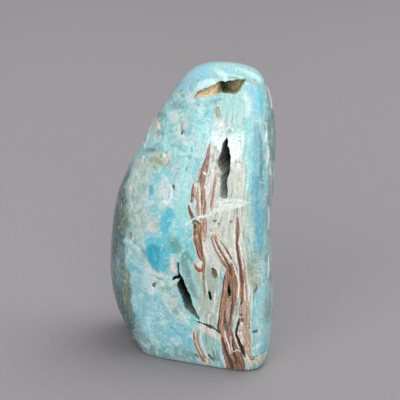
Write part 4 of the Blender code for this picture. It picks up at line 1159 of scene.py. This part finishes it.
# short pale and dark marks: pieces of the bends of a noise
bend = maths("ABSOLUTE", maths("SUBTRACT", grains(swirled, 1.6 * MM, detail=0.5), 0.5))
pieces = grains(place, 1.6 * MM, detail=1.0)
wisps = product(ranged(bend, 0.055, 0.0), ranged(pieces, 0.56, 0.66))
colour = toward(colour, "frost", wisps, 0.5)
nicks = product(ranged(bend, 0.03, 0.0), ranged(pieces, 0.42, 0.34))
colour = toward(colour, "teal_dark", nicks, 0.4)

# fine upright streaks along the sheets
along = put("ShaderNodeCombineXYZ", {0: product(stored("sheets"), 0.8 * MM),
                                     1: product(upright[1], 0.2),
                                     2: product(upright[2], 0.06)}).outputs[0]
fibres = grains(along, 0.55 * MM, detail=4.0, roughness=0.6)
fibre_edge = maths("SUBTRACT", fibres, 0.5)
colour = toward(colour, "streak_pale", ranged(fibres, 0.52, 0.66), streak_share, 0.85)
colour = toward(colour, "streak_dark", ranged(fibres, 0.46, 0.3), streak_share, 0.75)

# brown sheets, striped along their length, and the thin lines
edge = maths("ADD", stored("brown"), product(fibre_edge, 0.6))
brown_share = ranged(edge, 0.12, -0.12)
stripes = grains(along, 0.3 * MM, detail=2.0, roughness=0.6)
striped = shaded(stored("brown_colour", "Color"), ranged(stripes, 0.32, 0.68, 0.72, 1.25))
striped = toward(striped, "ivory", ranged(stripes, 0.58, 0.7), 0.4)
striped = toward(striped, "umber", ranged(stripes, 0.41, 0.3), 0.6)
grit = grains(place, 0.45 * MM, detail=1.0)
striped = shaded(striped, ranged(grit, 0.34, 0.66, 0.8, 1.2))
colour = mixed(brown_share, colour, striped)
beside = maths("SUBTRACT", 1.0, brown_share)
colour = toward(colour, "sheet_border", ranged(edge, 0.5, 0.12), beside, 0.45)
line_edge = maths("ADD", stored("line"), product(fibre_edge, 0.35))
line_share = product(ranged(line_edge, 0.12, -0.08), 0.9)
colour = mixed(line_share, colour, stored("line_colour", "Color"))

# white veins over everything
curdle = grains(place, 1.3 * MM, detail=3.0, roughness=0.65)
vein_edge = maths("ADD", stored("vein"), product(maths("SUBTRACT", curdle, 0.5), 2.2))
colour = toward(colour, "vein_white", ranged(vein_edge, 0.35, -0.25), 0.72)

# pores
colour = toward(colour, "pore_grey", ranged(stored("pore"), 0.15, 0.8), 0.35)

# grain of the stone
grain = grains(place, 0.9 * MM, detail=2.0)
colour = shaded(colour, ranged(grain, 0.3, 0.7, 0.91, 1.09))

# hollows: their own colours, with the painted shade of their walls and floors
open_share = ranged(stored("openness"), 0.02, 0.12)
mottle = grains(place, 1.1 * MM, detail=3.0, roughness=0.65)
inside = shaded(stored("lining", "Color"), ranged(mottle, 0.3, 0.7, 0.66, 1.3))
colour = mixed(open_share, colour, inside)
tree.links.new(colour, shader.inputs["Base Color"])

# how dull and how rough to the touch it is
dull = maths("ADD", product(brown_share, 0.1), product(open_share, 0.5))
tree.links.new(maths("ADD", dull, 0.1), shader.inputs["Roughness"])
relief = maths("ADD", product(grain, 0.4), product(fibres, brown_share))
relief = maths("ADD", relief, product(maths("SUBTRACT", wisps, nicks), 0.8))
bump = put("ShaderNodeBump", {"Strength": 0.35, "Distance": 0.18 * MM, "Height": relief})
tree.links.new(bump.outputs[0], shader.inputs["Normal"])
stone_mesh.materials.append(material)


# Pores: small round openings of the rock that the polish leaves, spread over the whole skin
PORE_GAP = 6.0 * MM
PORES_PER_SQUARE_METRE = 14000.0
PORE_RADIUS = 0.75 * MM
PORE_DEPTH = 0.3 * MM
PORE_SEED = 11

pores = bpy.data.node_groups.new("pores", "GeometryNodeTree")
sockets = {name: pores.interface.new_socket(name, in_out="INPUT", socket_type=kind)
           for name, kind in (("Stone", "NodeSocketGeometry"), ("Gap", "NodeSocketFloat"),
                              ("Density", "NodeSocketFloat"), ("Radius", "NodeSocketFloat"),
                              ("Depth", "NodeSocketFloat"), ("Seed", "NodeSocketInt"))}
pores.interface.new_socket("Stone", in_out="OUTPUT", socket_type="NodeSocketGeometry")
tree = pores
given = put("NodeGroupInput").outputs
scatter = put("GeometryNodeDistributePointsOnFaces", {
    "Mesh": given["Stone"], "Distance Min": given["Gap"], "Density Max": given["Density"],
    "Seed": given["Seed"]}, distribute_method="POISSON")
distance = put("GeometryNodeProximity", {0: scatter.outputs["Points"]},
               target_element="POINTS").outputs["Distance"]
sizes = put("ShaderNodeTexNoise", {"Scale": 1.0 / (5.0 * MM), "Detail": 0.0}).outputs["Fac"]
sizes = ranged(sizes, 0.35, 0.65, 0.5, 1.3)
closeness = ranged(maths("DIVIDE", distance, product(sizes, given["Radius"])), 1.0, 0.2)
marked = put("GeometryNodeStoreNamedAttribute", {
    "Geometry": given["Stone"], "Name": "pore", "Value": closeness},
    data_type="FLOAT", domain="POINT")
inward = put("ShaderNodeVectorMath", {
    0: put("GeometryNodeInputNormal").outputs[0],
    "Scale": product(closeness, given["Depth"], -1.0)}, operation="SCALE")
pressed = put("GeometryNodeSetPosition", {"Geometry": marked.outputs[0],
                                          "Offset": inward.outputs[0]})
whole = put("GeometryNodeRealizeInstances", {0: pressed.outputs[0]})
coated = put("GeometryNodeSetMaterial", {"Geometry": whole.outputs[0], "Material": material})
put("NodeGroupOutput", {"Stone": coated.outputs[0]})

modifier = stone.modifiers.new("pores", "NODES")
modifier.node_group = pores
for name, value in (("Gap", PORE_GAP), ("Density", PORES_PER_SQUARE_METRE),
                    ("Radius", PORE_RADIUS), ("Depth", PORE_DEPTH), ("Seed", PORE_SEED)):
    modifier[sockets[name].identifier] = value
view_layer = bpy.context.evaluated_depsgraph_get()
porous_mesh = bpy.data.meshes.new_from_object(stone.evaluated_get(view_layer),
                                              preserve_all_data_layers=True, depsgraph=view_layer)
stone.modifiers.remove(modifier)
stone.data = porous_mesh
porous_mesh.name = "polished_stone"

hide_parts("stone")
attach(stone, "root")


# The studio: a plain grey cloth floor, broad soft lights from above and in front, and two panels
# whose reflections lie on the polish.
def soft_light(name, size, place, aim, watts):
    """A rectangular soft light, sizes and places in metres."""
    data = bpy.data.lights.new(name, "AREA")
    data.shape = "RECTANGLE"
    data.size, data.size_y = size
    data.energy = watts
    light = bpy.data.objects.new(name, data)
    light.location = place
    light.rotation_euler = (Vector(aim) - Vector(place)).to_track_quat("-Z", "Y").to_euler()
    bpy.context.scene.collection.objects.link(light)


soft_light("overhead", (1.1, 0.9), (0.45, 0.15, 0.95), (0.0, 0.05, 0.0), 9.2)
soft_light("front_fill", (2.2, 1.4), (-0.4, -1.6, 0.78), (0.0, 0.0, 0.06), 26.5)
soft_light("front_panel", (0.105, 0.022), (-0.245, -0.55, 0.167), (0.01, 0.0, 0.08), 0.27)
soft_light("right_strip", (0.05, 0.5), (0.7, 0.05, 0.1), (0.0, 0.0, 0.06), 0.35)

ROOM_COLOUR = (0.80, 0.80, 0.82, 1.0)
ROOM_STRENGTH = 0.44
world = bpy.data.worlds.new("studio")
world.use_nodes = True
room = world.node_tree.nodes["Background"]
room.inputs["Color"].default_value = ROOM_COLOUR
room.inputs["Strength"].default_value = ROOM_STRENGTH
bpy.context.scene.world = world
bpy.context.scene.view_settings.view_transform = "Standard"

FLOOR_HALF = 3.0
floor_mesh = bpy.data.meshes.new("floor")
floor_bm = bmesh.new()
bmesh.ops.create_grid(floor_bm, x_segments=2, y_segments=2, size=FLOOR_HALF)
floor_bm.to_mesh(floor_mesh)
floor_bm.free()
floor = bpy.data.objects.new("floor", floor_mesh)
bpy.context.scene.collection.objects.link(floor)
floor_material = bpy.data.materials.new("floor_cloth")
floor_material.use_nodes = True
tree = floor_material.node_tree
floor_shader = tree.nodes["Principled BSDF"]
floor_shader.inputs["Roughness"].default_value = 0.9
floor_place = put("ShaderNodeTexCoord").outputs["Object"]
floor_axes = put("ShaderNodeSeparateXYZ", {0: floor_place}).outputs
# painted light: paler toward the back and the left, evening out the lamps' falloff there, with a
# faint nap
nap = ranged(grains(floor_place, 1.6 * MM, detail=2.0), 0.3, 0.7, 0.96, 1.04)
tone = product(ranged(floor_axes[1], 0.05, 0.9, 1.0, 1.16),
               ranged(floor_axes[0], 0.06, -0.12, 1.0, 1.09), nap)
tree.links.new(shaded(COLOURS["cloth"], tone), floor_shader.inputs["Base Color"])
floor_mesh.materials.append(floor_material)
